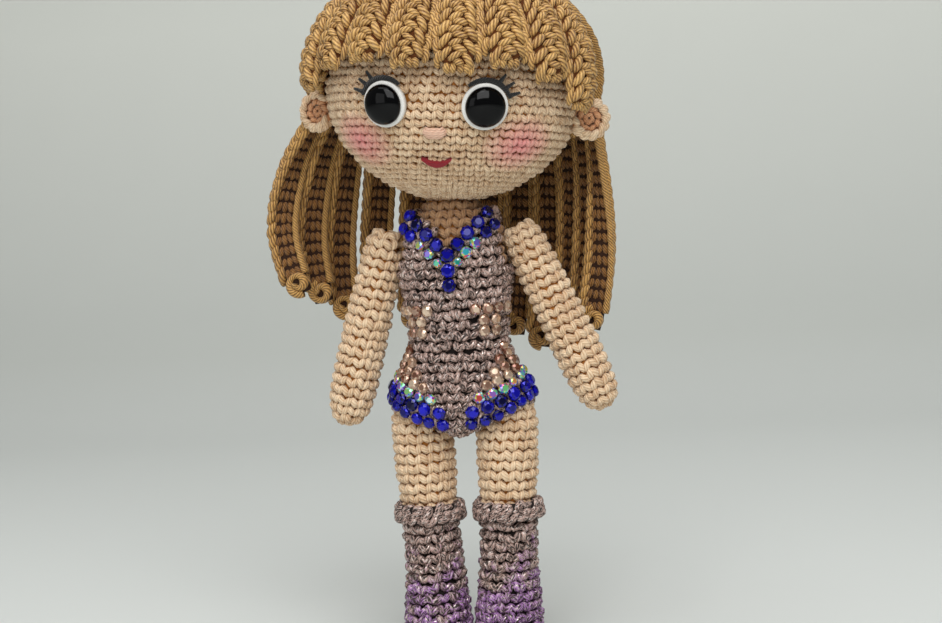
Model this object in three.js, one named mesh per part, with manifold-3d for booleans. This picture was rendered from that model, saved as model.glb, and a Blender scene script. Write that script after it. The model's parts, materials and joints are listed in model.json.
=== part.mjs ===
// A crocheted amigurumi doll with a wig, a stone-trimmed leotard and ankle boots.
// Millimetres, +Z up. The doll faces -Y, and left and right are the doll's own: its left is at +X.
import * as THREE from 'three';
import { mergeVertices } from 'three/addons/utils/BufferGeometryUtils.js';
import Module from 'manifold-3d';

const wasm = await Module();
wasm.setup();

// Fabric and play
const seatGap = 0.3;
const yarnWall = 1.8;
const cutOverrun = 6;
const weldTolerance = 0.0001;

// Torso: height above the floor, then half sizes at the hips, the widest place
const torsoBase = 70.3;
const torsoHeight = 75;
const hipHalfWidth = 20.2;
const hipHalfDepth = 12.9;
const neckInsert = 3.3;

// Head: a plain ball, a little wider than it is deep or high
const headHalfWidth = 39.5;
const headHalfDepth = 36;
const headHalfHeight = 34;
const headForward = 2;

// The head leans a little to the doll's left, with its hair, about its seat on the neck
const headLeanAngle = THREE.MathUtils.degToRad(5);

// Legs and boots
const bootHeight = 45;
const bootHalfWidth = 10.2;
const bootHalfLength = 13.2;
const toeForward = 3;
const ankleRadius = 8.2;
const legRadius = 9.1;
const legTopAboveTorsoBase = 11.7;
const soleSpread = 10.7;
const hipSpread = 13.4;
const cuffThickness = 2.5;
const cuffHeight = 7;
const insoleThickness = 1.2;

// Arms and their thread joints
const armLength = 58;
const armRadius = 6.9;
const shoulderRadius = 5.6;
const shoulderDrop = 16.3;
const leftArmAngle = THREE.MathUtils.degToRad(23);
const rightArmAngle = THREE.MathUtils.degToRad(16);
const liftTravelAngle = THREE.MathUtils.degToRad(70);
const threadRadius = 1.1;
const innerKnotRadius = 2.2;

// Neck rod
const rodRadius = 2;
const rodAboveNeck = 18;
const rodBelowNeck = 34;

// Leotard
const leotardWall = 1.7;
const neckPointDrop = 18.8;
const neckTopDrop = 5.8;
const neckHalfWidth = 11;
const backNeckDrop = 14.3;
const armholeRadius = 8.2;
const legCutDrop = 0.8;
const legCutRise = 9.5;
const backNeckShare = 0.7;

// Face
const eyeRadius = 6;
const eyeDome = 3.4;
const eyeSpacing = 29;
const eyeDrop = 6;
const eyeFeltRadius = 6.9;
const feltThickness = 0.9;
const shankRadius = 2;
const shankLength = 9;
const washerRadius = 5.2;
const washerThickness = 1.4;
const lashWidth = 1.3;
const lashReach = 3.4;
const lashBandAngles = [20, 132].map(THREE.MathUtils.degToRad);
const lashTurnAngles = [26, 44, 62].map(THREE.MathUtils.degToRad);
const lashLeanAngle = THREE.MathUtils.degToRad(8);
const noseHalfLength = 3.4;
const noseRadius = 1.5;
const noseDrop = 14;
const mouthHalfWidth = 4.6;
const mouthHeight = 3;
const mouthDrop = 21.5;
const mouthUpperShare = 0.3;

// Ears
const earRadius = 6.4;
const earThickness = 3.4;
const earDrop = 8;
const earForward = 2;
const earTurnAngle = THREE.MathUtils.degToRad(26);
const earSeatShare = 0.4;

// Hair
const capWall = 2.6;
const capFrontRise = 14;
const capBackDrop = 24;
const lockHalfThickness = 2.5;
const lockHalfWidth = 6.4;
const strandHalfThickness = 2.2;
const strandHalfWidth = 3.8;
const strandKnobHalfWidth = 4.4;
const strandKnobHalfThickness = 3.3;
const crownHalfThickness = 1.2;
const crownAngle = THREE.MathUtils.degToRad(24);
const hairDrop = 80;
const hairBulge = 11;

// Glued stones
const blueStoneRadius = 2.1;
const shimmerStoneRadius = 1.95;
const copperStoneRadius = 1.5;
const stoneHeight = 1.5;
const rowSpacingShare = 0.8;

// How finely each form is faceted: sides round it, then sections along it
const torsoCounts = [16, 15];
const innerTorsoCounts = [12, 11];
const legCounts = [14, 8];
const innerLegCounts = [10, 7];
const armCounts = [14, 7];
const innerArmCounts = [8, 6];
const headCounts = [22, 12];
const innerHeadCounts = [14, 8];
const capCounts = [18, 10];
const ringCount = 16;
const smallRingCount = 12;
const slotSteps = 6;
const arcSteps = 8;
const cuffSteps = 3;
const paceSteps = 200;
const eyeSteps = 4;
const lockPointCount = 4;
const lockSteps = 9;
const strandSteps = 14;

// Places worked out from the sizes above
const torsoTop = torsoBase + torsoHeight;
const shoulderHeight = torsoTop - shoulderDrop;
const neckPointHeight = torsoTop - neckPointDrop;
const neckTopHeight = torsoTop - neckTopDrop;
const backNeckHeight = torsoTop - backNeckDrop;
const legCutInnerHeight = torsoBase - legCutDrop;
const headBottom = torsoTop - neckInsert;
const headCentre = new THREE.Vector3(0, -headForward, headBottom + headHalfHeight);
const headLean = new THREE.Matrix4()
  .makeTranslation(0, 0, headBottom)
  .multiply(new THREE.Matrix4().makeRotationY(headLeanAngle))
  .multiply(new THREE.Matrix4().makeTranslation(0, 0, -headBottom));
const legBottom = bootHeight + seatGap;
const legTop = torsoBase + legTopAboveTorsoBase;
const legHeight = legTop - legBottom;
const knotRadius = shoulderRadius - yarnWall - seatGap;
const sides = { left: 1, right: -1 };

// Outlines as shares: height, width, depth, and where a fourth stands there, the shift to the front
const torsoShares = [
  [0.009, 0.5, 0.5], [0.049, 0.87, 0.87], [0.116, 1, 1], [0.196, 0.92, 0.953], [0.276, 0.757, 0.87],
  [0.383, 0.634, 0.815], [0.529, 0.708, 0.86], [0.663, 0.792, 0.915], [0.769, 0.792, 0.868],
  [0.849, 0.743, 0.79], [0.896, 0.6, 0.68], [0.916, 0.48, 0.62], [0.943, 0.387, 0.605], [1, 0.387, 0.605],
];
const bootShares = [
  [0, 0.87, 0.88, 1], [0.03, 0.97, 0.965, 1], [0.11, 1, 1, 1], [0.24, 0.985, 0.955, 0.87],
  [0.38, 0.93, 0.84, 0.4], [0.53, 0.87, 0.725, 0.1], [0.75, 0.82, 0.645, 0], [1, 0.804, 0.621, 0],
];
const legShares = [
  [0, 0.89, 0.89], [0.11, 0.9, 0.9], [0.24, 0.965, 0.965], [0.45, 1, 1], [0.72, 1, 1],
  [0.86, 0.9, 0.9], [0.96, 0.55, 0.55], [1, 0.2, 0.2],
];
const armTopShares = [0.15, 0.4, 0.7, 0.9];
const armShares = [
  [0.17, 0.9], [0.43, 0.97], [0.7, 1], [0.86, 0.95], [0.95, 0.7], [0.99, 0.32],
];

// Ear cup: radius and thickness
const earShares = [
  [0, 0.15], [0.55, 0.1], [0.75, -0.45], [0.94, -0.35], [1, 0], [0.85, 0.45], [0, 0.55],
];

// Fringe: the turn of each lock from the front, then the angle down from the crown where it ends
const lockTurnAngles = [-65, -46.5, -28, -9.5, 9.5, 28, 46.5, 65].map(THREE.MathUtils.degToRad);
const lockEndAngles = [92, 83, 80, 82, 84, 81, 86, 97].map(THREE.MathUtils.degToRad);

// Long strands, from the doll's left ear round the back to its right ear: the turns where a strand
// leaves the crown and where it hangs, then how far it hangs and how far it swells out
const strandRootAngles = [
  84, 102, 119, 136, 153, 171, 189, 207, 224, 241, 258, 276,
].map(THREE.MathUtils.degToRad);
const strandHangAngles = [
  114, 125, 135, 147, 160, 173, 187, 202, 217, 231, 242, 253,
].map(THREE.MathUtils.degToRad);
const strandDropShares = [0.92, 0.97, 1.04, 1.02, 0.98, 0.95, 0.93, 0.96, 0.95, 0.92, 0.86, 0.82];
const strandBulgeShares = [0.4, 0.4, 0.36, 0.32, 0.3, 0.27, 0.27, 0.32, 0.45, 0.68, 0.95, 1.3];

// How a strand leaves the head: the angle down from the crown and the share of its turn made by then
const strandHeadAngles = [24, 42, 60, 78, 94].map(THREE.MathUtils.degToRad);
const strandTurnShares = [0, 0.12, 0.4, 0.8, 1];

// How it hangs: the share of the way down and the share of its swell
const strandHangShares = [[0.35, 0.75], [0.65, 1], [0.9, 0.7], [1, 0.45]];

// The stops along a lock: the share of its length, of its half width and of its half thickness
const lockStopShares = [[0, 0.4, 1], [0.5, 0.86, 1], [0.75, 1, 1], [0.93, 0.92, 1], [1, 0.5, 0.5]];

// The stops along a strand: the shares of its length and half width, and the path point that it lies
// on, or none where it hangs free and turns its edge to the front; then the knob at its end
const strandStopShares = [
  [0, 0.62, 0], [0.24, 1.18, 2], [0.36, 0.98, 3], [0.58, 1, 4], [0.8, 1, null], [0.9, 1, null],
];
const knobShares = [[0.96, 1], [1, 0.5]];

// A Manifold solid from a closed geometry
function solid(geometry) {
  const bare = geometry.clone();
  bare.deleteAttribute('normal');
  bare.deleteAttribute('uv');
  const welded = mergeVertices(bare, weldTolerance);
  const corners = [];
  const order = welded.index.array;
  for (let i = 0; i < order.length; i += 3) {
    const [a, b, c] = [order[i], order[i + 1], order[i + 2]];
    if (a !== b && b !== c && c !== a) corners.push(a, b, c);
  }
  const mesh = new wasm.Mesh({
    numProp: 3,
    vertProperties: new Float32Array(welded.attributes.position.array),
    triVerts: new Uint32Array(corners),
  });
  mesh.merge();
  return new wasm.Manifold(mesh);
}

// A geometry from a Manifold solid
function geometryOf(body) {
  const mesh = body.getMesh();
  const geometry = new THREE.BufferGeometry();
  geometry.setAttribute('position', new THREE.BufferAttribute(new Float32Array(mesh.vertProperties), 3));
  geometry.setIndex(new THREE.BufferAttribute(new Uint32Array(mesh.triVerts), 1));
  return geometry;
}

// The same form pushed outwards along its normals by a distance
function grown(form, distance) {
  const geometry = form.clone();
  geometry.computeVertexNormals();
  const place = geometry.attributes.position;
  const normal = geometry.attributes.normal;
  for (let i = 0; i < place.count; i += 1) {
    place.setXYZ(
      i,
      place.getX(i) + normal.getX(i) * distance,
      place.getY(i) + normal.getY(i) * distance,
      place.getZ(i) + normal.getZ(i) * distance,
    );
  }
  geometry.deleteAttribute('normal');
  return geometry;
}

// A closed skin through rings of points, with one point closing each end
function skin(rings, firstEnd, lastEnd) {
  const count = rings[0].length;
  const places = [firstEnd, ...rings.flat(), lastEnd];
  const corners = [];
  for (let side = 0; side < count; side += 1) {
    const next = (side + 1) % count;
    corners.push(0, 1 + next, 1 + side);
    for (let ring = 0; ring < rings.length - 1; ring += 1) {
      const here = 1 + ring * count;
      const above = here + count;
      corners.push(here + side, here + next, above + next);
      corners.push(here + side, above + next, above + side);
    }
    const top = 1 + (rings.length - 1) * count;
    corners.push(top + side, top + next, places.length - 1);
  }
  const geometry = new THREE.BufferGeometry().setFromPoints(places);
  geometry.setIndex(corners);
  return geometry;
}

// An upright form that swells and tapers: each section is an oval with its own centre
function swellingForm(sections, sideCount) {
  const ring = (section) => Array.from({ length: sideCount }, (_, side) => {
    const turn = (side / sideCount) * Math.PI * 2;
    const x = section.x + Math.cos(turn) * section.halfWidth;
    const y = section.y + Math.sin(turn) * section.halfDepth;
    return new THREE.Vector3(x, y, section.z);
  });
  const end = (section) => new THREE.Vector3(section.x, section.y, section.z);
  return skin(sections.map(ring), end(sections[0]), end(sections[sections.length - 1]));
}

// Sections along a smooth outline given in shares of a height, a half width and a half depth
function sectionsOf(shares, size, sectionCount) {
  const knots = shares.map(([up, width, depth]) => new THREE.Vector3(
    width * size.halfWidth,
    depth * size.halfDepth,
    up * size.height,
  ));
  const forwards = shares.map((row) => row[3] ?? 0);
  const outline = new THREE.CatmullRomCurve3(knots);
  return Array.from({ length: sectionCount }, (_, i) => {
    const along = i / (sectionCount - 1);
    const knot = outline.getPoint(along);
    const place = along * (shares.length - 1);
    const before = Math.min(Math.floor(place), shares.length - 2);
    const forward = THREE.MathUtils.lerp(forwards[before], forwards[before + 1], place - before);
    return {
      x: 0,
      y: -forward * (size.forward ?? 0),
      z: size.base + knot.z,
      halfWidth: knot.x,
      halfDepth: knot.y,
    };
  });
}

function ball(radius, centre, segments = 8) {
  const geometry = new THREE.SphereGeometry(radius, segments, segments / 2);
  return solid(geometry.translate(centre.x, centre.y, centre.z));
}

// A round bar between two points
function bar(radius, start, end, segments = smallRingCount) {
  const along = end.clone().sub(start);
  const geometry = new THREE.CylinderGeometry(radius, radius, along.length(), segments);
  geometry.applyQuaternion(new THREE.Quaternion().setFromUnitVectors(
    new THREE.Vector3(0, 1, 0),
    along.clone().normalize(),
  ));
  const middle = start.clone().add(end).multiplyScalar(0.5);
  return solid(geometry.translate(middle.x, middle.y, middle.z));
}

// A flat outline in the XZ plane, thickened along Y from one depth to another
function plate(outline, fromY, toY) {
  const geometry = new THREE.ExtrudeGeometry(new THREE.Shape(outline), {
    depth: toY - fromY,
    bevelEnabled: false,
  });
  return solid(geometry.rotateX(Math.PI / 2).translate(0, toY, 0));
}

function flat(x, z) {
  return new THREE.Vector2(x, z);
}

const doll = new THREE.Group();
doll.name = 'amigurumi_doll';

const head = new THREE.Group();
head.applyMatrix4(headLean);
doll.add(head);

function addPiece(name, body, colour, roughness, metalness = 0) {
  const geometry = body.isBufferGeometry ? body : geometryOf(body);
  const material = new THREE.MeshStandardMaterial({ color: colour, roughness, metalness });
  const mesh = new THREE.Mesh(geometry, material);
  mesh.name = name;
  doll.add(mesh);
  return mesh;
}

// Adds a piece that is built upright and leans with the head
function addHeadPiece(name, body, colour, roughness) {
  const mesh = addPiece(name, body, colour, roughness);
  head.add(mesh);
}

const colours = {
  skin: 0xe3b28f,
  hair: 0xb98a4c,
  leotard: 0x8c7476,
  boot: 0x86707a,
  stuffing: 0xf2f0ea,
  black: 0x0b0b0d,
  white: 0xf4f3f0,
  lip: 0x8a1020,
  nose: 0xf0c9b4,
  wood: 0xc9a26b,
  blue: 0x1515a0,
  copper: 0xb07a55,
};

// Torso
function torsoForm(sideCount, sectionCount) {
  const size = { base: torsoBase, height: torsoHeight, halfWidth: hipHalfWidth, halfDepth: hipHalfDepth };
  return swellingForm(sectionsOf(torsoShares, size, sectionCount), sideCount);
}
const torsoSkin = torsoForm(...torsoCounts);

// The torso's half width and half depth at a height
function torsoSectionAt(height) {
  const size = { base: torsoBase, height: torsoHeight, halfWidth: hipHalfWidth, halfDepth: hipHalfDepth };
  const sections = sectionsOf(torsoShares, size, paceSteps);
  return sections.reduce((best, section) => (
    Math.abs(section.z - height) < Math.abs(best.z - height) ? section : best));
}
const shoulderHalfWidth = torsoSectionAt(shoulderHeight).halfWidth;
const neckRadius = torsoSectionAt(torsoTop).halfWidth;
const pivotReach = shoulderHalfWidth + seatGap + shoulderRadius;

function pivotOf(side) {
  return new THREE.Vector3(side * pivotReach, 0, shoulderHeight);
}

// Legs: every leg piece leans in towards the feet by the same slope
function legCentre(side, height) {
  const slope = (hipSpread - soleSpread) / torsoBase;
  return side * (soleSpread + height * slope);
}

function leanedForm(shares, size, side, sideCount, sectionCount) {
  const sections = sectionsOf(shares, size, sectionCount);
  for (const section of sections) section.x = legCentre(side, section.z);
  return swellingForm(sections, sideCount);
}

function legForm(side, sideCount, sectionCount) {
  const size = { base: legBottom, height: legHeight, halfWidth: legRadius, halfDepth: legRadius };
  return leanedForm(legShares, size, side, sideCount, sectionCount);
}

function bootForm(side, sideCount, sectionCount) {
  const size = {
    base: 0,
    height: bootHeight,
    halfWidth: bootHalfWidth,
    halfDepth: bootHalfLength,
    forward: toeForward,
  };
  return leanedForm(bootShares, size, side, sideCount, sectionCount);
}

// A block that covers everything above or below a height
function slab(fromHeight, toHeight) {
  const reach = headHalfWidth * 2;
  const outline = [
    flat(-reach, fromHeight), flat(reach, fromHeight), flat(reach, toHeight), flat(-reach, toHeight),
  ];
  return plate(outline, -reach, reach);
}

// The thread joint of one shoulder: a knot inside the torso, the thread, and a knot inside the arm
function shoulderThread(side) {
  const pivot = pivotOf(side);
  const innerKnot = innerKnotPlace(side);
  return bar(threadRadius, innerKnot, pivot)
    .add(ball(innerKnotRadius, innerKnot))
    .add(ball(knotRadius, pivot));
}

function innerKnotPlace(side) {
  const reach = shoulderHalfWidth - yarnWall - innerKnotRadius - seatGap * 2;
  return new THREE.Vector3(side * reach, 0, shoulderHeight);
}

// What the thread joint needs free around it in the torso's pieces
function threadClearance(side) {
  const pivot = pivotOf(side);
  const innerKnot = innerKnotPlace(side);
  return bar(threadRadius + seatGap, innerKnot, pivot)
    .add(ball(innerKnotRadius + seatGap, innerKnot));
}

function neckRod(extra = 0) {
  const low = new THREE.Vector3(0, 0, torsoTop - rodBelowNeck - extra);
  const high = new THREE.Vector3(0, 0, torsoTop + rodAboveNeck + extra);
  return bar(rodRadius + extra, low, high);
}

function bodyCover() {
  let cover = solid(torsoSkin).subtract(solid(grown(torsoForm(...innerTorsoCounts), -yarnWall)));
  const innerNeck = neckRadius - yarnWall;
  const belowTop = new THREE.Vector3(0, 0, torsoTop - yarnWall * 2);
  const overTop = new THREE.Vector3(0, 0, torsoTop + cutOverrun);
  cover = cover.subtract(bar(innerNeck, belowTop, overTop, ringCount));
  for (const side of Object.values(sides)) {
    const pivot = pivotOf(side);
    cover = cover.subtract(bar(threadRadius + seatGap, innerKnotPlace(side), pivot));
    cover = cover.subtract(ball(shoulderRadius + seatGap, pivot, ringCount));
  }
  return cover;
}

function bodyStuffing() {
  let stuffing = solid(grown(torsoForm(...innerTorsoCounts), -yarnWall - seatGap));
  stuffing = stuffing.subtract(slab(torsoTop - yarnWall - seatGap, torsoTop + cutOverrun));
  stuffing = stuffing.subtract(neckRod(seatGap));
  for (const side of Object.values(sides)) stuffing = stuffing.subtract(threadClearance(side));
  return stuffing;
}

// Legs are cut by the torso, which is the larger form
function legCover(side) {
  return solid(legForm(side, ...legCounts))
    .subtract(legHollow(side, -yarnWall))
    .subtract(solid(grown(torsoSkin, seatGap)));
}

// The space inside a leg, open towards the boot
function legHollow(side, distance) {
  const inside = solid(grown(legForm(side, ...innerLegCounts), distance));
  const low = new THREE.Vector3(legCentre(side, legBottom), 0, legBottom - cutOverrun);
  const high = new THREE.Vector3(legCentre(side, legBottom), 0, legBottom - distance * 2);
  return inside.add(bar(ankleRadius + distance, low, high));
}

function bootHollow(side, distance) {
  const inside = solid(grown(bootForm(side, ...innerLegCounts), distance));
  const low = new THREE.Vector3(legCentre(side, bootHeight), 0, bootHeight + distance * 2);
  const high = new THREE.Vector3(legCentre(side, bootHeight), 0, bootHeight + cutOverrun);
  return inside.add(bar(ankleRadius + distance, low, high));
}

function boot(side) {
  return solid(bootForm(side, ...legCounts)).subtract(bootHollow(side, -yarnWall));
}

function insole(side) {
  const base = yarnWall + seatGap;
  const size = {
    base,
    height: insoleThickness,
    halfWidth: bootHalfWidth - yarnWall * 2,
    halfDepth: bootHalfLength - yarnWall * 2,
  };
  const sections = [0, 1].map((up) => ({
    x: legCentre(side, base),
    y: -toeForward,
    z: size.base + up * size.height,
    halfWidth: size.halfWidth,
    halfDepth: size.halfDepth,
  }));
  return swellingForm(sections, ringCount);
}

// One stuffing fills the boot and the leg above it
function legStuffing(side) {
  const insoleTop = yarnWall + seatGap + insoleThickness + seatGap;
  const inset = -yarnWall - seatGap;
  return bootHollow(side, inset)
    .add(legHollow(side, inset))
    .subtract(slab(-cutOverrun, insoleTop))
    .subtract(solid(grown(torsoSkin, seatGap)));
}

// A rolled ring round the top of the boot
function bootCuff(side) {
  const inner = ankleRadius + seatGap;
  const outer = inner + cuffThickness;
  const round = cuffThickness / 2;
  const middle = (inner + outer) / 2;
  const half = cuffHeight / 2 - round;
  const profile = [];
  for (let i = 0; i <= cuffSteps; i += 1) {
    const turn = (i / cuffSteps) * Math.PI;
    profile.push(new THREE.Vector2(middle + Math.cos(turn) * round, half + Math.sin(turn) * round));
  }
  for (let i = 0; i <= cuffSteps; i += 1) {
    const turn = Math.PI + (i / cuffSteps) * Math.PI;
    profile.push(new THREE.Vector2(middle + Math.cos(turn) * round, -half + Math.sin(turn) * round));
  }
  profile.push(profile[0].clone());
  const ring = new THREE.LatheGeometry(profile, ringCount);
  ring.rotateX(Math.PI / 2);
  return ring.translate(legCentre(side, bootHeight), 0, bootHeight);
}

// Arms hang from their pivot, which is the middle of their round top
function armForm(sideCount, sectionCount) {
  const top = armTopShares.map((share) => {
    const turn = share * Math.PI / 2;
    return { x: 0, y: 0, z: Math.cos(turn) * shoulderRadius, halfWidth: Math.sin(turn) * shoulderRadius };
  });
  const knots = [[0, shoulderRadius / armRadius], ...armShares].map(
    ([along, width]) => new THREE.Vector3(width * armRadius, 0, -along * armLength),
  );
  const outline = new THREE.CatmullRomCurve3(knots);
  const rest = outline.getPoints(sectionCount).map((knot) => (
    { x: 0, y: 0, z: knot.z, halfWidth: knot.x }));
  const sections = [...top, ...rest].map((section) => ({ ...section, halfDepth: section.halfWidth }));
  return swellingForm(sections.reverse(), sideCount);
}

// The opening that lets the thread pass while the arm lifts
function liftSlot(side, restAngle) {
  const halfSlot = threadRadius + seatGap;
  const margin = Math.asin(halfSlot / (shoulderRadius - yarnWall));
  const from = restAngle - margin;
  const to = restAngle + liftTravelAngle + margin;
  const reach = shoulderRadius + cutOverrun;
  const outline = [flat(0, 0)];
  for (let i = 0; i <= slotSteps; i += 1) {
    const turn = from + (i / slotSteps) * (to - from);
    outline.push(flat(-side * Math.cos(turn) * reach, Math.sin(turn) * reach));
  }
  return plate(outline, -halfSlot, halfSlot);
}

function armCover(side, restAngle) {
  return solid(armForm(...armCounts))
    .subtract(solid(grown(armForm(...innerArmCounts), -yarnWall)))
    .subtract(liftSlot(side, restAngle));
}

function armStuffing() {
  const origin = new THREE.Vector3(0, 0, 0);
  return solid(grown(armForm(...innerArmCounts), -yarnWall - seatGap))
    .subtract(ball(knotRadius + seatGap * 2, origin, ringCount))
    .subtract(slab(0, shoulderRadius + cutOverrun));
}

function addArm(name, side, restAngle) {
  const pivot = pivotOf(side);
  const pieces = [
    addPiece(`arm_${name}`, armCover(side, restAngle), colours.skin, 0.9),
    addPiece(`arm_stuffing_${name}`, armStuffing(), colours.stuffing, 1),
  ];
  for (const piece of pieces) {
    piece.position.copy(pivot);
    piece.rotation.y = -side * restAngle;
  }
}

// Leotard: one fabric over the torso and the tops of the legs
function leotardBlock(distance) {
  return solid(grown(torsoSkin, distance))
    .add(solid(grown(legForm(1, ...legCounts), distance)))
    .add(solid(grown(legForm(-1, ...legCounts), distance)));
}

function legOpening(side) {
  const run = hipSpread + legRadius;
  const reach = run + cutOverrun;
  const slope = legCutRise / run;
  return plate([
    flat(0, legCutInnerHeight),
    flat(side * reach, legCutInnerHeight + reach * slope),
    flat(side * reach, 0),
    flat(0, 0),
  ], -reach, reach);
}

function neckOpening() {
  const front = plate([
    flat(0, neckPointHeight),
    flat(neckHalfWidth, neckTopHeight),
    flat(neckHalfWidth, torsoTop + cutOverrun),
    flat(-neckHalfWidth, torsoTop + cutOverrun),
    flat(-neckHalfWidth, neckTopHeight),
  ], -hipHalfDepth * 2, 0);
  const back = plate([
    flat(-neckHalfWidth, neckTopHeight),
    flat(-neckHalfWidth * backNeckShare, backNeckHeight),
    flat(neckHalfWidth * backNeckShare, backNeckHeight),
    flat(neckHalfWidth, neckTopHeight),
    flat(neckHalfWidth, torsoTop + cutOverrun),
    flat(-neckHalfWidth, torsoTop + cutOverrun),
  ], 0, hipHalfDepth * 2);
  return front.add(back);
}

function armhole(side) {
  const pivot = pivotOf(side);
  const inside = new THREE.Vector3(side * (shoulderHalfWidth - yarnWall), 0, shoulderHeight);
  return bar(armholeRadius, inside, pivot, ringCount);
}

function leotard() {
  let cloth = leotardBlock(seatGap + leotardWall)
    .subtract(leotardBlock(seatGap))
    .subtract(neckOpening())
    .subtract(slab(neckTopHeight, torsoTop + cutOverrun * 2));
  for (const side of Object.values(sides)) {
    cloth = cloth.subtract(legOpening(side)).subtract(armhole(side));
  }
  return cloth;
}

// Head
function headForm(widthSegments, heightSegments) {
  const geometry = new THREE.SphereGeometry(1, widthSegments, heightSegments);
  geometry.deleteAttribute('normal');
  geometry.deleteAttribute('uv');
  geometry.rotateX(Math.PI / 2).scale(headHalfWidth, headHalfDepth, headHalfHeight);
  const welded = mergeVertices(geometry, weldTolerance);
  return welded.translate(headCentre.x, headCentre.y, headCentre.z);
}
const headSkin = headForm(...headCounts);

// A place on the front of the head, straight in front of x and height, and the way out of it
function headFront(x, z) {
  const across = x / headHalfWidth;
  const up = (z - headCentre.z) / headHalfHeight;
  const y = headCentre.y - headHalfDepth * Math.sqrt(1 - across * across - up * up);
  const out = new THREE.Vector3(
    x / headHalfWidth ** 2,
    (y - headCentre.y) / headHalfDepth ** 2,
    (z - headCentre.z) / headHalfHeight ** 2,
  ).normalize();
  return { place: new THREE.Vector3(x, y, z), out };
}

// Turns a body built round the origin with +Y pointing into the head to a place on its front
function onFace(geometry, x, z) {
  const { place, out } = headFront(x, z);
  const inward = out.clone().negate();
  const across = new THREE.Vector3().crossVectors(inward, new THREE.Vector3(0, 0, 1)).normalize();
  const up = new THREE.Vector3().crossVectors(across, inward);
  const frame = new THREE.Matrix4().makeBasis(across, inward, up).setPosition(place);
  return geometry.applyMatrix4(frame);
}

const eyeHeight = headCentre.z - eyeDrop;

function disc(radius, fromY, toY, segments = ringCount) {
  const geometry = new THREE.CylinderGeometry(radius, radius, toY - fromY, segments);
  return geometry.translate(0, (fromY + toY) / 2, 0);
}

function eyePlace(side) {
  return side * eyeSpacing / 2;
}

// A domed safety eye with its shank, as one turned profile
function safetyEye(side) {
  const profile = [new THREE.Vector2(0, 0)];
  for (let i = 1; i <= eyeSteps; i += 1) {
    const turn = (i / eyeSteps) * Math.PI / 2;
    profile.push(new THREE.Vector2(Math.sin(turn) * eyeRadius, eyeDome - Math.cos(turn) * eyeDome));
  }
  profile.push(new THREE.Vector2(shankRadius, eyeDome));
  profile.push(new THREE.Vector2(shankRadius, eyeDome + shankLength));
  profile.push(new THREE.Vector2(0, eyeDome + shankLength));
  const geometry = new THREE.LatheGeometry(profile, ringCount);
  geometry.translate(0, -eyeDome - feltThickness - seatGap * 3, 0);
  return solid(onFace(geometry, eyePlace(side), eyeHeight));
}

// White felt behind the eye: its back follows the head
function eyeFelt(side) {
  const front = -feltThickness - seatGap * 2;
  const felt = solid(onFace(disc(eyeFeltRadius, front, yarnWall), eyePlace(side), eyeHeight));
  return felt.subtract(solid(grown(headSkin, seatGap))).subtract(shankHole(side));
}

function shankHole(side) {
  const hole = disc(shankRadius + seatGap, -cutOverrun, shankLength + seatGap, smallRingCount);
  return solid(onFace(hole, eyePlace(side), eyeHeight));
}

const washerDepth = yarnWall * 2;

function eyeWasher(side) {
  const ring = [
    new THREE.Vector2(shankRadius + seatGap, washerDepth),
    new THREE.Vector2(washerRadius, washerDepth),
    new THREE.Vector2(washerRadius, washerDepth + washerThickness),
    new THREE.Vector2(shankRadius + seatGap, washerDepth + washerThickness),
    new THREE.Vector2(shankRadius + seatGap, washerDepth),
  ];
  return solid(onFace(new THREE.LatheGeometry(ring, ringCount), eyePlace(side), eyeHeight));
}

function washerRecess(side) {
  const recess = disc(washerRadius + seatGap, 0, shankLength + seatGap * 2, smallRingCount);
  return solid(onFace(recess, eyePlace(side), eyeHeight));
}

// A lash line over the eye with three short lashes at its outer end
function lashes(side) {
  const inner = eyeFeltRadius + seatGap;
  const outer = inner + lashWidth;
  const band = [];
  const onArc = (radius, turn) => flat(side * Math.cos(turn) * radius, Math.sin(turn) * radius);
  for (let i = 0; i <= arcSteps; i += 1) {
    band.push(onArc(outer, THREE.MathUtils.lerp(...lashBandAngles, i / arcSteps)));
  }
  for (let i = arcSteps; i >= 0; i -= 1) {
    band.push(onArc(inner, THREE.MathUtils.lerp(...lashBandAngles, i / arcSteps)));
  }
  let line = lashPlate(band);
  for (const turn of lashTurnAngles) {
    const root = onArc(inner + lashWidth / 2, turn);
    const tip = root.clone().add(onArc(lashReach, turn - lashLeanAngle));
    const across = onArc(lashWidth / 2, turn - lashLeanAngle + Math.PI / 2);
    line = line.add(lashPlate([
      root.clone().sub(across), tip.clone().sub(across), tip.clone().add(across), root.clone().add(across),
    ]));
  }
  const shape = solid(onFace(geometryOf(line), eyePlace(side), eyeHeight));
  return shape.subtract(solid(grown(headSkin, seatGap)));
}

function lashPlate(outline) {
  return plate(outline, -feltThickness, yarnWall);
}

// A short satin stitch for the nose
function noseStitch() {
  const stitch = new THREE.SphereGeometry(noseRadius, smallRingCount, arcSteps);
  stitch.scale(noseHalfLength / noseRadius, 1, 1);
  return solid(onFace(stitch, 0, headCentre.z - noseDrop)).subtract(solid(grown(headSkin, seatGap)));
}

// A small level smile in felt: two shallow arcs between the same two corners
function mouth() {
  const outline = [];
  const onCurve = (i, depth) => {
    const along = (i / arcSteps) * 2 - 1;
    return flat(along * mouthHalfWidth, -depth * (1 - along * along));
  };
  for (let i = 0; i <= arcSteps; i += 1) outline.push(onCurve(i, mouthHeight));
  for (let i = arcSteps - 1; i >= 1; i -= 1) outline.push(onCurve(i, mouthHeight * mouthUpperShare));
  const shape = onFace(geometryOf(plate(outline, -feltThickness, yarnWall)), 0, headCentre.z - mouthDrop);
  return solid(shape).subtract(solid(grown(headSkin, seatGap)));
}

// A body of the torso as the upright head meets it: leaned the other way
function asMetByHead(body) {
  return body.transform(headLean.clone().invert().elements);
}

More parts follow.
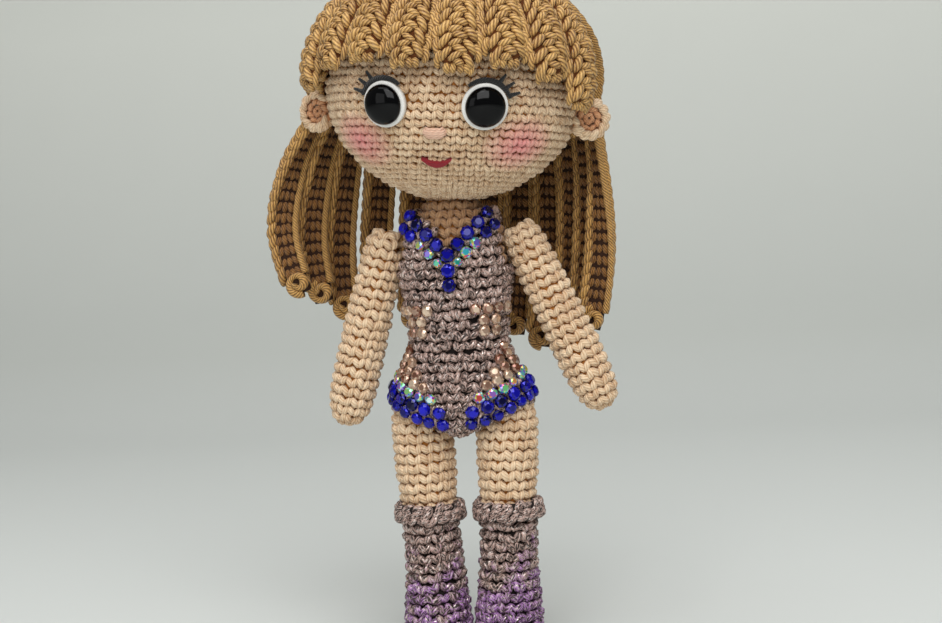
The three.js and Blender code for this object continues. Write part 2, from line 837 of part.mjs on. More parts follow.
function neckHole(extra) {
  const low = new THREE.Vector3(0, 0, headBottom - cutOverrun);
  const high = new THREE.Vector3(0, 0, torsoTop + extra);
  return bar(neckRadius + extra, low, high, ringCount);
}

function headCover() {
  return solid(headSkin)
    .subtract(solid(grown(headForm(...innerHeadCounts), -yarnWall)))
    .subtract(asMetByHead(neckHole(seatGap)))
    .subtract(shankHole(1))
    .subtract(shankHole(-1));
}

function headStuffing() {
  return solid(grown(headForm(...innerHeadCounts), -yarnWall - seatGap))
    .subtract(asMetByHead(neckHole(seatGap)))
    .subtract(asMetByHead(neckRod(seatGap)))
    .subtract(washerRecess(1))
    .subtract(washerRecess(-1));
}

// The part of a shell round the head that lies above a line from brow to nape
function capRegion() {
  const reach = headHalfWidth * 2;
  const slope = (capFrontRise + capBackDrop) / (headHalfDepth * 2);
  const atAxis = headCentre.z + (capFrontRise - capBackDrop) / 2;
  const outline = [
    flat(-reach, atAxis + reach * slope),
    flat(reach, atAxis - reach * slope),
    flat(reach, headCentre.z + reach),
    flat(-reach, headCentre.z + reach),
  ];
  const block = geometryOf(plate(outline, -reach, reach)).rotateZ(Math.PI / 2);
  return solid(block.translate(0, headCentre.y, 0));
}

function wigCap() {
  return solid(grown(headForm(...capCounts), seatGap + capWall))
    .subtract(solid(grown(headSkin, seatGap)))
    .intersect(capRegion());
}

// A shallow crocheted cup facing forwards, cut by the head and the wig cap
function ear(side) {
  const profile = earShares.map(([out, thick]) => new THREE.Vector2(out * earRadius, thick * earThickness));
  const cup = new THREE.LatheGeometry(profile, smallRingCount);
  cup.rotateZ(side * earTurnAngle);
  const reach = headHalfWidth + earRadius * earSeatShare;
  cup.translate(side * reach, headCentre.y - earForward, headCentre.z - earDrop);
  return solid(cup)
    .subtract(solid(grown(headSkin, seatGap)))
    .subtract(solid(grown(headForm(...capCounts), capWall + seatGap * 2)).intersect(capRegion()));
}

// A place beside the head: turn from the front (positive to the doll's left), angle down from the
// crown, and a height over the head's surface
function hairPlace(turn, down, over) {
  return new THREE.Vector3(
    Math.sin(turn) * Math.sin(down) * (headHalfWidth + over),
    headCentre.y - Math.cos(turn) * Math.sin(down) * (headHalfDepth + over),
    headCentre.z + Math.cos(down) * (headHalfHeight + over),
  );
}

function hairOut(place) {
  const from = place.clone().sub(headCentre);
  from.set(from.x / headHalfWidth ** 2, from.y / headHalfDepth ** 2, from.z / headHalfHeight ** 2);
  return from.normalize();
}

// The corners of a flat, six-sided section
const sectionShares = [[1, 0], [0.55, -1], [-0.55, -1], [-1, 0], [-0.55, 1], [0.55, 1]];

// A flat strip along a path. Each stop gives the share of the way along, the half width, the half
// thickness and the way its flat side faces.
function strip(points, stops, steps) {
  const path = new THREE.CatmullRomCurve3(points);
  const rings = [];
  for (let i = 0; i <= steps; i += 1) {
    const along = i / steps;
    const place = path.getPoint(along);
    const tangent = path.getTangent(along);
    const stop = between(stops, along);
    const across = new THREE.Vector3().crossVectors(tangent, stop.facing).normalize();
    const out = new THREE.Vector3().crossVectors(across, tangent).normalize();
    rings.push(sectionShares.map(([width, thick]) => place.clone()
      .addScaledVector(across, width * stop.halfWidth)
      .addScaledVector(out, thick * stop.halfThickness)));
  }
  return solid(skin(rings, path.getPoint(0), path.getPoint(1)));
}

function between(stops, along) {
  let next = 1;
  while (next < stops.length - 1 && stops[next].at < along) next += 1;
  const [low, high] = [stops[next - 1], stops[next]];
  const share = THREE.MathUtils.clamp((along - low.at) / (high.at - low.at), 0, 1);
  return {
    halfWidth: THREE.MathUtils.lerp(low.halfWidth, high.halfWidth, share),
    halfThickness: THREE.MathUtils.lerp(low.halfThickness, high.halfThickness, share),
    facing: low.facing.clone().lerp(high.facing, share).normalize(),
  };
}

const overCap = seatGap * 3 + capWall;

// Each lock runs from the crown down over the brow and ends in a blunt point
function fringeLock(index) {
  const points = [];
  for (let i = 0; i <= lockPointCount; i += 1) {
    const along = i / lockPointCount;
    const half = THREE.MathUtils.lerp(crownHalfThickness, lockHalfThickness, Math.min(along * 2, 1));
    const down = THREE.MathUtils.lerp(crownAngle, lockEndAngles[index], along);
    points.push(hairPlace(lockTurnAngles[index], down, overCap + half));
  }
  const facing = (along) => hairOut(points[Math.round(along * lockPointCount)]);
  const stops = lockStopShares.map(([at, width, thick]) => ({
    at,
    halfWidth: lockHalfWidth * width,
    halfThickness: at === 0 ? crownHalfThickness : lockHalfThickness * thick,
    facing: facing(at),
  }));
  return strip(points, stops, lockSteps);
}

function hairStrand(index) {
  const root = strandRootAngles[index];
  const hang = strandHangAngles[index];
  const bulge = hairBulge * strandBulgeShares[index];
  const points = strandHeadAngles.map((down, i) => {
    const half = THREE.MathUtils.lerp(crownHalfThickness, strandHalfThickness, Math.min(i / 2, 1));
    const turn = THREE.MathUtils.lerp(root, hang, strandTurnShares[i]);
    return hairPlace(turn, down, overCap + half);
  });
  const tip = headCentre.z - hairDrop * strandDropShares[index];
  const leave = points[points.length - 1];
  for (const [down, spread] of strandHangShares) {
    const place = hairPlace(hang, Math.PI / 2, overCap + strandHalfThickness + bulge * spread);
    place.z = THREE.MathUtils.lerp(leave.z, tip, down);
    points.push(place);
  }
  const sideways = new THREE.Vector3(0, 1, 0);
  const stops = strandStopShares.map(([at, width, point]) => ({
    at,
    halfWidth: strandHalfWidth * width,
    halfThickness: at === 0 ? crownHalfThickness : strandHalfThickness,
    facing: point === null ? sideways : hairOut(points[point]),
  }));
  for (const [at, size] of knobShares) {
    stops.push({
      at,
      halfWidth: strandKnobHalfWidth * size,
      halfThickness: strandKnobHalfThickness * size,
      facing: sideways,
    });
  }
  return strip(points, stops, strandSteps);
}

// Stones: each row is one trim, a chain of cut stones that swell and narrow along the cloth
const clothSurface = new THREE.Mesh(
  geometryOf(leotardBlock(seatGap * 4 + leotardWall)),
  new THREE.MeshBasicMaterial({ side: THREE.DoubleSide }),
);
const finder = new THREE.Raycaster();

function clothSpot(from, towards) {
  finder.set(from, towards);
  const hit = finder.intersectObject(clothSurface)[0];
  const out = hit.face.normal.clone();
  return { point: hit.point.addScaledVector(out, stoneHeight / 2), out };
}

function frontSpot(x, z) {
  return clothSpot(new THREE.Vector3(x, -headHalfDepth * 2, z), new THREE.Vector3(0, 1, 0));
}

// Spots a pitch apart along a line on the cloth; the line is a function of a share from 0 to 1
function pacedSpots(line, pitch) {
  const spots = [line(0)];
  for (let i = 1; i <= paceSteps; i += 1) {
    const spot = line(i / paceSteps);
    if (spot.point.distanceTo(spots[spots.length - 1].point) >= pitch) spots.push(spot);
  }
  return spots;
}

// The section of a cut stone: a wide foot on the cloth and a narrower table
const stoneSectionShares = [[1, -1], [-1, -1], [-0.55, 1], [0.55, 1]];

function stoneRing(point, out, along, halfWidth, halfThickness) {
  const across = new THREE.Vector3().crossVectors(along, out).normalize();
  const up = new THREE.Vector3().crossVectors(across, along).normalize();
  return stoneSectionShares.map(([width, thick]) => point.clone()
    .addScaledVector(across, width * halfWidth)
    .addScaledVector(up, thick * halfThickness));
}

// The flat of a stone, and the neck between two stones, as shares of its radius and height
const stoneFlatShare = 0.42;
const stoneEndShare = 0.84;
const stoneNeckShare = 0.5;
const stoneNeckHeightShare = 0.3;

// The point that lies a distance beyond the end of a step
function overRun(from, end, distance) {
  return end.clone().addScaledVector(end.clone().sub(from).normalize(), distance);
}

function stoneRow(line, radius) {
  const spots = pacedSpots(line, radius * 2);
  const rings = [];
  spots.forEach((spot, i) => {
    const before = spots[Math.max(i - 1, 0)];
    const after = spots[Math.min(i + 1, spots.length - 1)];
    const along = after.point.clone().sub(before.point).normalize();
    for (const end of [-1, 1]) {
      const point = spot.point.clone().addScaledVector(along, end * radius * stoneFlatShare);
      rings.push(stoneRing(point, spot.out, along, radius, stoneHeight / 2));
    }
    if (after === spot) return;
    const middle = spot.point.clone().lerp(after.point, 0.5);
    const out = spot.out.clone().add(after.out).normalize();
    const step = after.point.clone().sub(spot.point).normalize();
    rings.push(stoneRing(middle, out, step, radius * stoneNeckShare, stoneHeight * stoneNeckHeightShare));
  });
  const points = spots.map((spot) => spot.point);
  const first = overRun(points[1], points[0], radius * stoneEndShare);
  const last = overRun(points[points.length - 2], points[points.length - 1], radius * stoneEndShare);
  return solid(skin(rings, first, last));
}

function joined(rows) {
  return rows.reduce((trim, row) => trim.add(row));
}

// Neckline: a blue row along the V, a shimmering row below it and blue drops under the point
const shimmerFromShare = 0.1;
const shimmerToShare = 0.72;
const dropCount = 2;

function necklineStones() {
  const top = flat(neckHalfWidth + blueStoneRadius, neckTopHeight - blueStoneRadius);
  const point = flat(0, neckPointHeight - blueStoneRadius);
  const rowDrop = (blueStoneRadius + shimmerStoneRadius) * rowSpacingShare;
  const rows = [];
  for (const side of Object.values(sides)) {
    const blueLine = (share) => {
      const place = point.clone().lerp(top, share);
      return frontSpot(side * place.x, place.y);
    };
    const shimmerLine = (share) => {
      const place = point.clone().lerp(top, THREE.MathUtils.lerp(shimmerFromShare, shimmerToShare, share));
      return frontSpot(side * (place.x + rowDrop / 2), place.y - rowDrop);
    };
    rows.push(stoneRow(blueLine, blueStoneRadius), stoneRow(shimmerLine, shimmerStoneRadius));
  }
  const dropLine = (share) => frontSpot(0, point.y - share * (dropCount + overPaceShare) * blueStoneRadius * 2);
  rows.push(stoneRow(dropLine, blueStoneRadius));
  return joined(rows);
}

// Hip: a blue row follows the leg opening, with a shimmering row and a copper row over its front. Each
// row runs between two turns from the front, positive to the outside.
const hipBlueAngles = [-34, 205].map(THREE.MathUtils.degToRad);
const hipShimmerAngles = [-26, 80].map(THREE.MathUtils.degToRad);
const hipCopperAngles = [0, 62].map(THREE.MathUtils.degToRad);

function hipStones(side) {
  const slope = legCutRise / (hipSpread + legRadius);
  const reach = legRadius + seatGap + leotardWall;
  const centre = legCentre(side, torsoBase);
  const line = (turns, rise) => (share) => {
    const turn = THREE.MathUtils.lerp(...turns, share);
    const towards = new THREE.Vector3(side * Math.sin(turn), -Math.cos(turn), 0);
    const edge = Math.abs(centre + towards.x * reach);
    return clothSpot(new THREE.Vector3(centre, 0, legCutInnerHeight + edge * slope + rise), towards);
  };
  const shimmerRise = blueStoneRadius + (blueStoneRadius + shimmerStoneRadius) * rowSpacingShare;
  const copperRise = shimmerRise + (shimmerStoneRadius + copperStoneRadius) * rowSpacingShare;
  return joined([
    stoneRow(line(hipBlueAngles, blueStoneRadius), blueStoneRadius),
    stoneRow(line(hipShimmerAngles, shimmerRise), shimmerStoneRadius),
    stoneRow(line(hipCopperAngles, copperRise), copperStoneRadius),
  ]);
}

// Waist: a small triangle of copper stones on each side of the front. Each row has its start and
// length in steps between stones.
const waistRowShares = [[0, 2], [0.5, 1], [0.5, 1]];
const waistHeightShare = 0.51;
const waistReachShare = 0.5;
const overPaceShare = 0.1;

function waistStones(side) {
  const step = copperStoneRadius * 2;
  const height = torsoBase + torsoHeight * waistHeightShare;
  const reach = torsoSectionAt(height).halfWidth * waistReachShare;
  return joined(waistRowShares.map(([from, length], row) => {
    const line = (share) => {
      const along = from + share * (length + overPaceShare);
      return frontSpot(side * (reach + along * step), height - row * step * rowSpacingShare);
    };
    return stoneRow(line, copperStoneRadius);
  }));
}

// Assembly
addPiece('body_cover', bodyCover(), colours.skin, 0.9);
addPiece('body_stuffing', bodyStuffing(), colours.stuffing, 1);
addPiece('neck_rod', neckRod(), colours.wood, 0.7);
addPiece('leotard', leotard(), colours.leotard, 0.6, 0.3);
for (const [name, side] of Object.entries(sides)) {
  addPiece(`leg_${name}`, legCover(side), colours.skin, 0.9);
  addPiece(`leg_stuffing_${name}`, legStuffing(side), colours.stuffing, 1);
  addPiece(`boot_${name}`, boot(side), colours.boot, 0.6, 0.3);
  addPiece(`boot_cuff_${name}`, bootCuff(side), colours.boot, 0.6, 0.3);
  addPiece(`insole_${name}`, insole(side), colours.white, 0.5);
  addPiece(`shoulder_thread_${name}`, shoulderThread(side), colours.skin, 0.9);
  addHeadPiece(`eye_${name}`, safetyEye(side), colours.black, 0.05);
  addHeadPiece(`eye_washer_${name}`, eyeWasher(side), colours.white, 0.5);
  addHeadPiece(`eye_felt_${name}`, eyeFelt(side), colours.white, 1);
  addHeadPiece(`lashes_${name}`, lashes(side), colours.black, 0.9);
  addHeadPiece(`ear_${name}`, ear(side), colours.skin, 0.9);
  addPiece(`waist_stones_${name}`, waistStones(side), colours.copper, 0.15, 0.6);
  addPiece(`hip_stones_${name}`, hipStones(side), colours.blue, 0.1, 0.4);
}
addArm('left', sides.left, leftArmAngle);
addArm('right', sides.right, rightArmAngle);
addPiece('neckline_stones', necklineStones(), colours.blue, 0.1, 0.4);
addHeadPiece('head_cover', headCover(), colours.skin, 0.9);
addHeadPiece('head_stuffing', headStuffing(), colours.stuffing, 1);
addHeadPiece('nose_stitch', noseStitch(), colours.nose, 0.9);
addHeadPiece('mouth', mouth(), colours.lip, 0.9);
addHeadPiece('wig_cap', wigCap(), colours.hair, 0.7);
for (let i = 0; i < lockTurnAngles.length; i += 1) {
  addHeadPiece(`fringe_lock_${i + 1}`, fringeLock(i), colours.hair, 0.7);
}
for (let i = 0; i < strandRootAngles.length; i += 1) {
  addHeadPiece(`hair_strand_${String(i + 1).padStart(2, '0')}`, hairStrand(i), colours.hair, 0.7);
}

// The origin is on the floor, under the middle of the whole doll
const reachOfDoll = new THREE.Box3().setFromObject(doll, true);
const middleOfDoll = reachOfDoll.getCenter(new THREE.Vector3());
doll.position.set(-middleOfDoll.x, -middleOfDoll.y, -reachOfDoll.min.z);

export default doll;
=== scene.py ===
import json
import random
from bisect import bisect_left
from collections import namedtuple
from functools import cache
from math import acos, cos, pi, radians, sin, sqrt, tau
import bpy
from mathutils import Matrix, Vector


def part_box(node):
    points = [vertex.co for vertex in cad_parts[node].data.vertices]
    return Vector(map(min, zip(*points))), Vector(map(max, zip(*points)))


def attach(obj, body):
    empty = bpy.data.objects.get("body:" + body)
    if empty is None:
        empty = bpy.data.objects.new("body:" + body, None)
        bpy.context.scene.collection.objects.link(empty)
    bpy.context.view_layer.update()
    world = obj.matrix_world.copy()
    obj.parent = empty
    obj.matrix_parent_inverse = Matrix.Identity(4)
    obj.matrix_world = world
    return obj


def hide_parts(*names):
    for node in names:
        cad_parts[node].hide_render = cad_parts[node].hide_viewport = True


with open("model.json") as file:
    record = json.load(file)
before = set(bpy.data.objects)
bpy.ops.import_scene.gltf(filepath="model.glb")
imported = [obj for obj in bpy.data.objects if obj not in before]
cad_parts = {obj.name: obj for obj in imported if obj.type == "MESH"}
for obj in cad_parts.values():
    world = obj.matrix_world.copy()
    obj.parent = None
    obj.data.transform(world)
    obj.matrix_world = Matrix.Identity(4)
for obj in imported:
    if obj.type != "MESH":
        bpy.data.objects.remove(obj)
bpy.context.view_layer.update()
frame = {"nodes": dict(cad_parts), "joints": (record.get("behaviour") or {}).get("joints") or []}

from types import SimpleNamespace

import bmesh
import bpy
from bpy.props import FloatProperty, FloatVectorProperty, IntProperty, PointerProperty
from mathutils import Matrix, Vector, noise
from mathutils.bvhtree import BVHTree

bl_info = {
    "name": "Amigurumi Doll",
    "version": (1, 0, 0),
    "blender": (4, 5, 0),
    "location": "View3D > Sidebar > Doll",
    "description": "Dresses the packed doll in crocheted yarn, felt and cut stones",
    "category": "Object",
}

MM = 0.001
TURN = tau
RIGHT = Vector((1, 0, 0))
FRONT = Vector((0, -1, 0))
UP = Vector((0, 0, 1))
SIDES = {"left": 1, "right": -1}

# Places taken from the frame
PIVOTS = {joint["name"].split("_")[1]: Vector(joint["pos_m"])
          for joint in frame["joints"] if joint["name"].startswith("lift_")}
MIDDLE = Vector(((PIVOTS["left"].x + PIVOTS["right"].x) / 2, PIVOTS["left"].y, 0))

# Sizes that the CAD source has too
HEAD_BOTTOM = 142 * MM
HEAD_HALF = Vector((39.5, 36, 34)) * MM
HEAD_FORWARD = 2 * MM
HEAD_LEAN = radians(5)
SHOULDER_RADIUS = 5.6 * MM
ARM_LENGTH = 58 * MM
ARM_ANGLES = {"left": radians(23), "right": radians(16)}
HIP_HEIGHT = 70.3 * MM
LEG_SPREAD_LOW = 10.7 * MM
LEG_SPREAD_HIGH = 13.4 * MM
CAP_WALL = 2.6 * MM
SEAT_GAP = 0.3 * MM
OVER_CAP = SEAT_GAP * 3 + CAP_WALL
EYE_SPACING = 29 * MM
EYE_DROP = 6 * MM
NOSE_DROP = 14 * MM
MOUTH_DROP = 21.5 * MM

# The head is made upright and then leans about its seat on the neck
HEAD = MIDDLE + UP * (HEAD_BOTTOM + HEAD_HALF.z) + FRONT * HEAD_FORWARD
HEAD_SEAT = MIDDLE + UP * HEAD_BOTTOM
LEAN = Matrix.Translation(HEAD_SEAT) @ Matrix.Rotation(HEAD_LEAN, 4, "Y") @ Matrix.Translation(-HEAD_SEAT)
UPRIGHT = LEAN.inverted()


def linear(code):
    """A linear colour from an sRGB hex code."""
    channels = [(code >> shift & 255) / 255 for shift in (16, 8, 0)]
    return tuple(c / 12.92 if c <= 0.04045 else ((c + 0.055) / 1.055) ** 2.4 for c in channels)


def shaded(colour, *shares):
    """A colour with its channels scaled, all alike where one share is given."""
    return tuple(c * share for c, share in zip(colour, shares * 3 if len(shares) == 1 else shares))


def length_property(name, description, default):
    return FloatProperty(name=name, description=description, default=default, unit="LENGTH", precision=5)


def colour_property(name, description, code):
    return FloatVectorProperty(name=name, description=description, default=linear(code),
                               subtype="COLOR", size=3, min=0, max=1)


class DollSizes(bpy.types.PropertyGroup):
    """Sizes of the yarn work and the stones."""

    stitch_width: length_property("Stitch width", "Width of one single crochet stitch", 3.9 * MM)
    row_height: length_property("Row height", "Height of one row of stitches", 3.15 * MM)
    yarn_radius: length_property("Yarn radius", "Radius of the yarn where a stitch is fullest", 1.15 * MM)
    hair_pitch: length_property("Hair pitch", "Length of one stitch along a strand of hair", 3.6 * MM)
    head_share: FloatProperty(name="Head stitch share", default=0.82, min=0.5, max=1.2,
                              description="Size of the head's finer stitches as a share of the others")
    blue_radius: length_property("Blue stone radius", "Radius of the blue stones", 2.3 * MM)
    shimmer_radius: length_property("Shimmer stone radius", "Radius of the shimmering stones", 1.95 * MM)
    copper_radius: length_property("Copper stone radius", "Radius of the copper stones", 1.95 * MM)
    seed: IntProperty(name="Seed", description="Seed of the small differences between stitches", default=7)


class DollColours(bpy.types.PropertyGroup):
    """Colours of the yarns, the felt and the stones."""

    skin: colour_property("Skin yarn", "Cotton of the head, body, arms and legs", 0xF6DBB8)
    # Painted shade: the skin yarn in the grooves between its plies, also its darker fibres; the core between
    # stitches takes it too, as painted shade
    skin_shade: colour_property("Skin shade", "Skin yarn between its plies", 0xAE7A42)
    hair: colour_property("Hair yarn", "Yarn of the wig", 0xE2B46C)
    # Painted shade: the hair yarn in the grooves between its plies, also its darker fibres; the cores between
    # stitches take it too, as painted shade
    hair_shade: colour_property("Hair shade", "Hair yarn between its plies", 0x663402)
    cloth: colour_property("Leotard yarn", "Yarn of the leotard", 0xC4A498)
    # The leotard's dark threads; the core between its stitches takes it darker, as painted shade
    cloth_shade: colour_property("Leotard shade", "Leotard yarn between its plies", 0x2A1B15)
    foot: colour_property("Boot foot", "Colour that the boots turn to at the foot", 0xAE78BE)
    blush: colour_property("Blush", "Pink of the cheeks", 0xEE8F94)
    blue: colour_property("Blue stones", "Stones along the edges", 0x1010D0)
    copper: colour_property("Copper stones", "Stones of the hips and the waist", 0xF2D8BC)


def sizes():
    return bpy.context.scene.doll_sizes


def colours():
    """The present colours, each as a tuple."""
    group = bpy.context.scene.doll_colours
    return SimpleNamespace(**{key: tuple(getattr(group, key)) for key in group.__annotations__})


def rng_of(name):
    return random.Random(f"{sizes().seed} {name}")


# Shader maths

STITCH_APART = 40


def add_node(tree, kind, settings=None, inputs=None):
    """Adds a node, its settings first and then its sockets' values or links, and gives its outputs."""
    node = tree.nodes.new(kind)
    for key, value in (settings or {}).items():
        setattr(node, key, value)
    feed(node, inputs or {})
    return node.outputs


def feed(node, inputs):
    for key, value in inputs.items():
        socket = node.inputs[key]
        if isinstance(value, Value):
            value = value.socket
        if isinstance(value, bpy.types.NodeSocket):
            node.id_data.links.new(value, socket)
        elif socket.type == "RGBA" and len(value) == 3:
            socket.default_value = (*value, 1)
        else:
            socket.default_value = value


def value_method(operation, swapped=False):
    """A method of Value that joins it to another value with one operation of the Math node."""

    def method(self, other):
        pair = (other, self) if swapped else (self, other)
        return self.graph.maths(operation, *pair)

    return method


class Value:
    """A socket of a shader that can stand in a sum."""

    def __init__(self, graph, socket):
        self.graph = graph
        self.socket = socket

    __add__ = __radd__ = value_method("ADD")
    __sub__ = value_method("SUBTRACT")
    __rsub__ = value_method("SUBTRACT", swapped=True)
    __mul__ = __rmul__ = value_method("MULTIPLY")
    __truediv__ = value_method("DIVIDE")
    __pow__ = value_method("POWER")


class Graph:
    """The nodes of one material."""

    def __init__(self, name):
        self.material = bpy.data.materials.new(name)
        self.material.use_nodes = True
        self.tree = self.material.node_tree
        self.shader = self.tree.nodes["Principled BSDF"]

    def put(self, kind, settings=None, inputs=None, output=0):
        return Value(self, add_node(self.tree, kind, settings, inputs)[output])

    def maths(self, operation, first, second=0.0):
        return self.put("ShaderNodeMath", {"operation": operation}, {0: first, 1: second})

    def clamped(self, value):
        return self.put("ShaderNodeClamp", None, {"Value": value})

    def mixed(self, factor, first, second):
        """A mix of two colours, with the factor held between 0 and 1."""
        settings = {"data_type": "RGBA", "clamp_factor": True}
        return self.put("ShaderNodeMix", settings, {0: factor, 6: first, 7: second}, 2)

    def place(self):
        return self.put("ShaderNodeTexCoord", None, None, "Object")

    def axis(self, name):
        return self.put("ShaderNodeSeparateXYZ", None, {"Vector": self.place()}, name)

    def along_and_around(self):
        uv = self.put("ShaderNodeUVMap", {"uv_map": "UVMap"})
        return [self.put("ShaderNodeSeparateXYZ", None, {"Vector": uv}, name) for name in "XY"]

    def attribute(self, name):
        return self.put("ShaderNodeAttribute", {"attribute_name": name}, None, "Fac")

    def noise(self, place, scale, detail):
        return self.put("ShaderNodeTexNoise", None, {"Vector": place, "Scale": scale, "Detail": detail})

    def speckle(self, size, detail=2.0):
        return self.noise(self.place(), 1 / size, detail)

    def ridges(self, twist, plies):
        """1 on top of a ply and 0 in the groove beside it, for plies that turn by a twist per millimetre."""
        along, around = self.along_and_around()
        return self.maths("ABSOLUTE", self.maths("SINE", (around * plies + along * twist) * pi))

    def filaments(self, stretch, count, detail=2.0):
        """Fine threads that run along the yarn, other ones in each stitch."""
        along, around = self.along_and_around()
        axes = {"X": along * stretch, "Y": around * count, "Z": self.attribute("tint") * STITCH_APART}
        return self.noise(self.put("ShaderNodeCombineXYZ", None, axes), 1.0, detail)

    def facet_shade(self, spread):
        """A value from 0 to 1 that each facet of each stone has for itself."""
        facet, _ = self.along_and_around()
        return self.maths("FRACT", facet + self.attribute("tint") * spread)

    def bump(self, height, strength, distance):
        inputs = {"Height": height, "Strength": strength, "Distance": distance}
        feed(self.shader, {"Normal": self.put("ShaderNodeBump", None, inputs)})

    def surface(self, **inputs):
        feed(self.shader, {name.replace("_", " "): value for name, value in inputs.items()})
        return self.material


def yarn(name, light, dark, roughness, sheen, twist=1.15, plies=7, depth=1.0):
    """Plied yarn: ridges along its plies, fine fibres and a little difference from stitch to stitch."""
    graph = Graph(name)
    ridges = graph.ridges(twist, plies)
    threads = graph.filaments(1.1, 16)
    patches = graph.speckle(1.6 * MM)
    tint = graph.attribute("tint") - 0.5
    # Painted shade in the grooves between the plies, mixed with the yarn's own differences of fibre, patch
    # and stitch tone
    shade = ridges ** 1.6 * (0.7 * depth) + threads * 0.7 + patches * 0.25 + tint * 0.28
    graph.bump(ridges + threads * 0.4, 0.9, 0.3 * MM * depth)
    return graph.surface(Base_Color=graph.mixed(shade + (0.12 - 0.4 * depth), dark, light),
                         Roughness=roughness, Sheen_Weight=sheen, Sheen_Roughness=0.5)


def skin_yarn(name, light, dark, blush):
    """Skin yarn, with two soft pink cheeks painted on the head."""
    graph = Graph(name)
    ridges = graph.ridges(0.8, 6)
    threads = graph.filaments(0.9, 12)
    patches = graph.speckle(2.2 * MM)
    tint = graph.attribute("tint") - 0.5
    # Painted shade in the grooves between the plies, mixed with the yarn's own differences of fibre, patch
    # and stitch tone
    base = graph.mixed(ridges * 0.5 + threads * 0.7 + patches * 0.3 + tint * 0.34 - 0.14, dark, light)
    cheeks = graph.attribute("blush") * (0.7 + threads * 0.6)
    graph.bump(ridges * 0.8 + threads * 0.5, 0.7, 0.24 * MM)
    return graph.surface(Base_Color=graph.mixed(cheeks * 0.85, base, blush), Roughness=0.85,
                         Sheen_Weight=0.2, Sheen_Roughness=0.6)


def fleck_yarn(name, light, dark, foot=None):
    """Yarn of fine dark, pale and metallic threads, whose colour may turn to another towards the floor."""
    graph = Graph(name)
    threads = graph.filaments(1.5, 20, 3)
    glints = graph.filaments(1.7, 24, 1)
    tint = graph.attribute("tint") - 0.5
    if foot is not None:
        wander = (graph.speckle(6 * MM) - 0.5) * 3 + (threads - 0.5) * 3.5 + tint * 1.2
        low = (28 * MM - graph.axis("Z")) / (14 * MM) + wander
        light = graph.mixed(graph.clamped(low) * 0.92, light, foot)
    base = graph.mixed((threads - 0.5) * 7 + 0.44 + tint * 0.3, dark, light)
    bright = graph.clamped((glints - 0.585) * 12)
    graph.bump(threads, 0.7, 0.3 * MM)
    return graph.surface(Base_Color=graph.mixed(bright, base, linear(0xF4E4DC)),
                         Roughness=0.55 - bright * 0.3, Metallic=bright * 0.5)


def painted_shade_core(name, colour):
    """The dark inside of the yarn work, seen between the stitches."""
    graph = Graph(name)
    fibres = graph.speckle(0.5 * MM, 3)
    graph.bump(fibres, 0.6, 0.3 * MM)
    return graph.surface(Base_Color=graph.mixed(fibres, shaded(colour, 0.35), colour), Roughness=0.95)


def fibre(name, light, dark, grain=0.25 * MM):
    """Felt, stuffing or thread: short fibres with no direction."""
    graph = Graph(name)
    fibres = graph.speckle(grain, 5)
    graph.bump(fibres, 0.5, 0.2 * MM)
    return graph.surface(Base_Color=graph.mixed(fibres * 1.6 - 0.3, dark, light), Roughness=0.95,
                         Sheen_Weight=0.3)


def plastic(name, colour, roughness, ior=1.5):
    graph = Graph(name)
    wear = graph.speckle(3 * MM, 4)
    return graph.surface(Base_Color=graph.mixed(wear, shaded(colour, 0.85), colour),
                         Roughness=roughness + wear * 0.06, IOR=ior)


def wood(name):
    """Wood with its grain along the rod."""
    graph = Graph(name)
    stretched = graph.put("ShaderNodeMapping", None, {"Vector": graph.place(), "Scale": (1, 1, 0.06)})
    grain = graph.noise(stretched, 1600.0, 4.0)
    graph.bump(grain, 0.3, 0.2 * MM)
    return graph.surface(Base_Color=graph.mixed(grain, linear(0x9C7240), linear(0xD8B37C)), Roughness=0.7)


def stone(name, dark, light, metallic=0.55, coat=1.0):
    """A foil-backed stone of one colour: each facet is a little lighter or darker."""
    graph = Graph(name)
    shade = graph.facet_shade(3.7) ** 2 * 0.75 + (graph.attribute("tint") - 0.35) * 0.6
    return graph.surface(Base_Color=graph.mixed(shade, dark, light), Roughness=0.08, Metallic=metallic,
                         Coat_Weight=coat, IOR=1.5)


# Colours of the film as (share, colour)
RAINBOW = [(0, 0x12A898), (0.16, 0x8FE58A), (0.3, 0xF0D060), (0.44, 0xD42A48), (0.6, 0x3A58D0),
           (0.76, 0x9A78D8), (0.88, 0x3CC8D8), (1, 0xE8F6F4)]


def shimmer_stone(name):
    """A stone with a rainbow film: each facet shows another colour."""
    graph = Graph(name)
    film = graph.put("ShaderNodeValToRGB", None, {"Fac": graph.facet_shade(5.3)})
    stops = film.socket.node.color_ramp.elements
    while len(stops) < len(RAINBOW):
        stops.new(0.5)
    for stop, (share, code) in zip(stops, RAINBOW):
        stop.position = share
        stop.color = (*linear(code), 1)
    return graph.surface(Base_Color=film, Roughness=0.05, Metallic=0.45, Coat_Weight=1.0, IOR=1.6)


def stage_surface(name, floor_code, low_code, high_code):
    """Paper whose tone changes over the floor's edge and up the wall."""
    graph = Graph(name)
    # A slow wobble in the painted light up the wall
    grain = graph.speckle(60 * MM) - 0.5
    height = graph.axis("Z")
    low = graph.mixed(height / (40 * MM), linear(floor_code), linear(low_code))
    high = (height - 60 * MM) / (220 * MM) + grain * 0.1
    return graph.surface(Base_Color=graph.mixed(high, low, linear(high_code)), Roughness=0.9)


# Painted shadow of the head: shares that darken the skin yarn for the neck and chest
NECK_SHADOW_SHARES = (0.58, 0.45, 0.34)


@cache
def make_material(maker, *values):
    return maker(*values)


